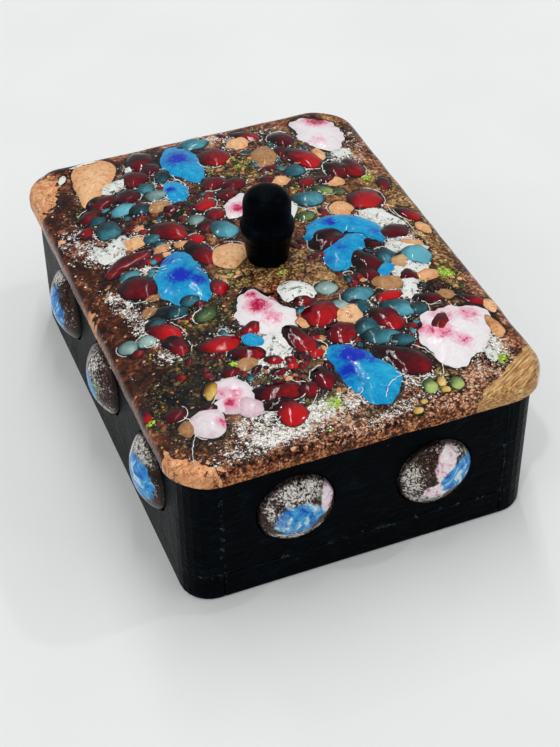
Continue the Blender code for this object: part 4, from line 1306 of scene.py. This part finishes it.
def knob_piece(material):
    """Make the turned and painted knob, slightly uneven, in place of its solid."""
    dome_height = KNOB_HIGH.z - KNOB_LOW.z - KNOB_DOME_START
    outline = list(KNOB_OUTLINE)
    for angle in np.linspace(0, math.pi / 2, 13):
        z = KNOB_DOME_START + dome_height * math.sin(angle) ** 0.92
        outline.append((KNOB_DOME_RADIUS * math.cos(angle) ** 0.72, z))
    radius, z = np.repeat(outline, KNOB_SEGMENTS, axis=0).T
    angle = np.tile(circle(KNOB_SEGMENTS), len(outline))
    places = zip(np.cos(angle) * 2, np.sin(angle) * 2, z * 400)
    uneven = 1 + KNOB_UNEVEN * np.array([noise.noise(Vector(place)) for place in places])
    reach = np.minimum(radius * uneven, KNOB_HIGH.x)
    points = np.column_stack((reach * np.cos(angle), reach * np.sin(angle), KNOB_LOW.z + z))
    piece = new_object("knob_turned", points, grid_faces(len(outline), KNOB_SEGMENTS))
    merge_points(piece)
    finish_piece(piece, material, "painted_wood", "knob")


# Enamelled discs: spots as colour, place and half sizes in shares of the radius, and turn
DISC_SPOTS = {
    "cabochon_front_1": (
        ("blue", -0.10, -0.02, 0.64, 0.46, 8), ("pink", 0.74, 0.36, 0.22, 0.44, -18),
        ("green", 0.52, 0.50, 0.15, 0.15, 0), ("white", -0.05, 0.74, 0.70, 0.26, 0),
        ("white", -0.60, 0.10, 0.20, 0.50, 30), ("white", 0.0, -0.55, 0.70, 0.20, 0),
    ),
    "cabochon_front_2": (
        ("blue", 0.46, 0.08, 0.52, 0.36, 26), ("pink", 0.12, 0.48, 0.28, 0.46, -26),
        ("pink", -0.10, -0.18, 0.38, 0.26, 10), ("green", 0.84, 0.48, 0.14, 0.30, 10),
        ("white", -0.76, 0.10, 0.24, 0.56, 0), ("white", 0.46, 0.80, 0.36, 0.20, -20),
        ("white", -0.40, -0.50, 0.40, 0.24, -20),
    ),
    "cabochon_left_1": (
        ("blue", 0.20, 0.10, 0.60, 0.60, 0), ("pink", -0.62, 0.40, 0.30, 0.40, 20),
        ("white", 0.0, 0.80, 0.60, 0.20, 0),
    ),
    "cabochon_left_2": (
        ("white", 0.0, 0.52, 0.40, 0.40, 0), ("blue", 0.0, -0.12, 0.38, 0.46, 10),
        ("green", 0.40, 0.06, 0.18, 0.34, 0), ("white", 0.30, -0.56, 0.50, 0.30, 0),
    ),
    "cabochon_left_3": (
        ("blue", 0.08, 0.04, 0.50, 0.66, 0), ("white", -0.20, 0.84, 0.40, 0.16, 30),
        ("white", 0.0, -0.80, 0.60, 0.18, -10),
    ),
    "cabochon_right_1": (
        ("blue", -0.20, 0.10, 0.56, 0.40, 12), ("pink", 0.50, 0.46, 0.34, 0.34, 0),
        ("white", -0.30, 0.70, 0.50, 0.24, 0),
    ),
    "cabochon_right_2": (
        ("pink", -0.16, 0.20, 0.50, 0.42, 30), ("blue", 0.50, -0.10, 0.34, 0.40, 0),
        ("white", 0.30, 0.70, 0.50, 0.24, 0),
    ),
    "cabochon_right_3": (
        ("blue", 0.16, 0.24, 0.56, 0.36, -12), ("green", -0.50, 0.0, 0.22, 0.22, 0),
        ("white", -0.40, 0.60, 0.40, 0.30, 0),
    ),
    "cabochon_back_1": (
        ("blue", 0.10, 0.06, 0.58, 0.40, -10), ("pink", -0.58, 0.40, 0.28, 0.40, 0),
        ("white", 0.20, 0.72, 0.60, 0.24, 0),
    ),
    "cabochon_back_2": (
        ("pink", 0.14, 0.34, 0.50, 0.38, 18), ("blue", -0.42, -0.10, 0.40, 0.34, 0),
        ("white", 0.60, -0.30, 0.30, 0.50, 0),
    ),
}
DISC_DOME = 0.0045
DISC_LUMP = 0.00014
DISC_RINGS = 26
DISC_SEGMENTS = 72
# Side and back of a disc: share of its radius, and of the height of its edge
DISC_BACK = ((1.0, 0.5), (0.995, 0.12), (0.93, 0.0), (0.5, 0.0), (0.0, 0.0))


def disc_piece(node, spots, material):
    """Make one domed enamelled disc in its recess, in place of its solid."""
    low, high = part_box(node)
    size = high - low
    depth_axis = 0 if size.x < size.y else 1
    outward = Vector((0.0, 0.0, 0.0))
    outward[depth_axis] = math.copysign(1.0, (low[depth_axis] + high[depth_axis]) / 2)
    up = Vector((0.0, 0.0, 1.0))
    right = up.cross(outward)
    radius = size.z / 2
    depth = size[depth_axis]
    back = (low + high) / 2 - outward * depth / 2
    edge = depth - DISC_DOME
    front = np.arange(DISC_RINGS + 1) / DISC_RINGS
    rows = len(front) + len(DISC_BACK)
    reach = np.repeat(np.append(front, [share for share, _ in DISC_BACK]), DISC_SEGMENTS)
    angle = np.tile(circle(DISC_SEGMENTS), rows)
    u = reach * np.cos(angle)
    v = reach * np.sin(angle)
    lump = DISC_LUMP * (noise_at(u, v, 2.6, back.x * 200 + back.y * 90) - 0.5)
    rise = edge + DISC_DOME * (1 - reach ** 2) ** 0.8 + lump * (1 - reach)
    rise[len(front) * DISC_SEGMENTS:] = np.repeat([edge * share for _, share in DISC_BACK], DISC_SEGMENTS)
    points = np.array(back) + np.outer(u * radius, right) + np.outer(v * radius, up) + np.outer(rise, outward)
    values = {"rim": reach}
    for key in ("blue", "pink", "green", "white"):
        values[key] = zone_level(u, v, [(*spot[1:], 1.0) for spot in spots if spot[0] == key])
    piece = new_object(node + "_enamel", points, grid_faces(rows, DISC_SEGMENTS), values)
    merge_points(piece)
    finish_piece(piece, material, "disc_enamel", node)


def disc_material():
    """Disc enamel: brown ground with white specks, and soft areas of blue, pink-white and green."""
    shade = Shade("disc_enamel")
    grain = shade.noise(0.0011, 5.0, 0.7)
    fine = shade.noise(0.0005, 3.0, 0.7)
    soft = shade.noise(0.0040, 4.0, 0.6, 0.8)
    body = shade.times(fine, 0.4, shade.times(grain, 0.6))
    colour = shade.ramp(body, (0.38, (8, 5, 4)), (0.50, (40, 22, 17)), (0.60, (88, 56, 44)),
                        (0.70, (160, 122, 104)))
    lace = shade.times(soft, 0.40, shade.noise(0.00062, 5.0, 0.76, 0.4))
    specks = shade.step(shade.times(shade.attribute("white"), 0.15, lace), 0.80, 0.87)
    edge = shade.times(shade.from_middle(grain), 0.25, shade.from_middle(soft, 0.55))
    pink_clouds = shade.noise(0.0024, 5.0, 0.66, 1.0)
    blue_clouds = shade.noise(0.0042, 6.0, 0.64, 1.6)
    tints = {
        "green": (0.50, 0.80, shade.ramp(body, (0.40, (48, 66, 42)), (0.62, (140, 158, 118)))),
        "pink": (0.45, 0.65, shade.ramp(pink_clouds, (0.32, (140, 30, 70)), (0.40, (204, 120, 150)),
                                        (0.47, (234, 214, 222)), (0.70, (250, 248, 248)))),
        "blue": (0.45, 0.65, shade.ramp(blue_clouds, (0.32, (4, 52, 150)), (0.42, (16, 112, 196)),
                                        (0.54, (66, 162, 214)), (0.64, (206, 228, 238)))),
    }
    levels = {}
    for name, (low, high, tint) in tints.items():
        levels[name] = shade.step(shade.math("ADD", shade.attribute(name), edge), low, high)
        colour = shade.mix(levels[name], colour, tint)
    over = shade.times(shade.math("MAXIMUM", levels["blue"], levels["pink"]), -0.75, 1.0)
    white = shade.ramp(fine, (0.34, (138, 130, 118)), (0.50, (228, 224, 218)))
    colour = shade.mix(shade.times(specks, over), colour, white)
    ring = shade.times(shade.step(shade.attribute("rim"), 0.93, 0.995), 0.85)
    colour = shade.mix(ring, colour, (24, 16, 13))
    shade.set(Base_Color=colour, Roughness=0.06, Specular_IOR_Level=0.20)
    shade.bump(shade.times(specks, 0.4, body), 0.00010, 0.45)
    return shade.material


def make_camera():
    """Put the camera where the photo was taken from."""
    yaw = math.radians(CAMERA_YAW)
    pitch = math.radians(CAMERA_PITCH)
    roll = math.radians(CAMERA_ROLL)
    forward = Vector((math.sin(yaw) * math.cos(pitch), math.cos(yaw) * math.cos(pitch), -math.sin(pitch)))
    level_right = Vector((math.cos(yaw), -math.sin(yaw), 0.0))
    level_up = level_right.cross(forward)
    right = level_right * math.cos(roll) + level_up * math.sin(roll)
    up = level_up * math.cos(roll) - level_right * math.sin(roll)
    data = bpy.data.cameras.new("camera")
    data.sensor_width = SENSOR_WIDTH
    data.lens = CAMERA_FOCAL_PIXELS / PHOTO_HEIGHT * SENSOR_WIDTH
    data.clip_start = 0.01
    data.clip_end = 20.0
    camera = bpy.data.objects.new("camera", data)
    bpy.context.scene.collection.objects.link(camera)
    turn = Matrix((right, up, -forward)).transposed().to_4x4()
    camera.matrix_world = Matrix.Translation(CAMERA_PLACE) @ turn
    bpy.context.scene.camera = camera


def area_light(name, place, size_x, size_y, power):
    """Add a rectangular soft light that faces the box."""
    data = bpy.data.lights.new(name, "AREA")
    data.shape = "RECTANGLE"
    data.size = size_x
    data.size_y = size_y
    data.energy = power
    light = bpy.data.objects.new(name, data)
    bpy.context.scene.collection.objects.link(light)
    facing = (-Vector(place)).to_track_quat("-Z", "Y").to_matrix().to_4x4()
    light.matrix_world = Matrix.Translation(Vector(place)) @ facing
    return light


def make_lights():
    """Light the table as in a pale studio: broad soft lights, small bright ones and one thin strip."""
    world = bpy.data.worlds.new("studio")
    bpy.context.scene.world = world
    world.use_nodes = True
    shade = world.node_tree.nodes["Background"]
    shade.inputs["Color"].default_value = STUDIO_COLOUR
    shade.inputs["Strength"].default_value = STUDIO_STRENGTH
    for name, place, size, power in LIGHTS:
        area_light(name, place, size, size, power)
    strip = area_light("strip", STRIP_PLACE, STRIP_WIDTH, STRIP_LENGTH, STRIP_POWER)
    strip.matrix_world = Matrix.Translation(STRIP_PLACE) @ Matrix.Rotation(-math.radians(CAMERA_YAW), 4, "Z")


def make_floor():
    """Lay the pale floor."""
    bpy.ops.mesh.primitive_plane_add(size=FLOOR_SIZE)
    floor = bpy.context.object
    floor.name = "floor"
    shade = Shade("pale_floor")
    tint = shade.noise(0.05, 2.0, 0.5)
    shade.set(Base_Color=shade.ramp(tint, (0.3, (232, 233, 233)), (0.7, (236, 237, 237))), Roughness=0.7)
    floor.data.materials.append(shade.material)


def dress_wood():
    """Paint the boards, their joints and the knob."""
    material = painted_wood()
    for entry in frame["record"]["subparts"]:
        if entry["material_slot"] != "painted_wood" or entry["node"] == "knob":
            continue
        piece = frame["nodes"][entry["node"]]
        piece.data.materials.clear()
        piece.data.materials.append(material)
        piece.data.shade_smooth()
        piece.data.set_sharp_from_angle(angle=math.radians(40))
    joint_paint(material)
    knob_piece(material)


def dress_lid():
    """Make the lid's ground and all the glass fused to it."""
    lid_ground(ground_material())
    rng = random.Random(GLASS_SEED)
    batches = {family: Batch() for family in GLASS_COLOURS}
    pile = []
    for family, tone, circles in MELTS:
        add_melt(batches[family], circles, family, tone, rng, pile)
        pile.append(run_mound(circles))
    for family, tone, run in RUNS:
        add_run(batches[family], run, tone, rng, pile)
        pile.append(run_mound(run))
    for drop in DROPS:
        family, x, y, length, width, turn, tone = drop
        add_drop(batches[family], x, y, length * DROP_SWELL, width * DROP_SWELL, turn, tone, rng, pile)
        pile.append(drop_mound(drop))
    add_chips(batches, rng)
    add_threads(pile, rng)
    field = crumb_field()
    for seed, crumbs in enumerate(CRUMBS):
        add_crumbs(*crumbs, seed, field)
    for family, batch in batches.items():
        piece = new_object("glass_" + family, batch.points, batch.faces, batch.values)
        merge_points(piece)
        finish_piece(piece, glass_material(family), "lid_enamel")


bpy.context.scene.view_settings.view_transform = "Standard"
make_camera()
make_lights()
make_floor()
dress_wood()
dress_lid()
enamel = disc_material()
for node, spots in DISC_SPOTS.items():
    disc_piece(node, spots, enamel)
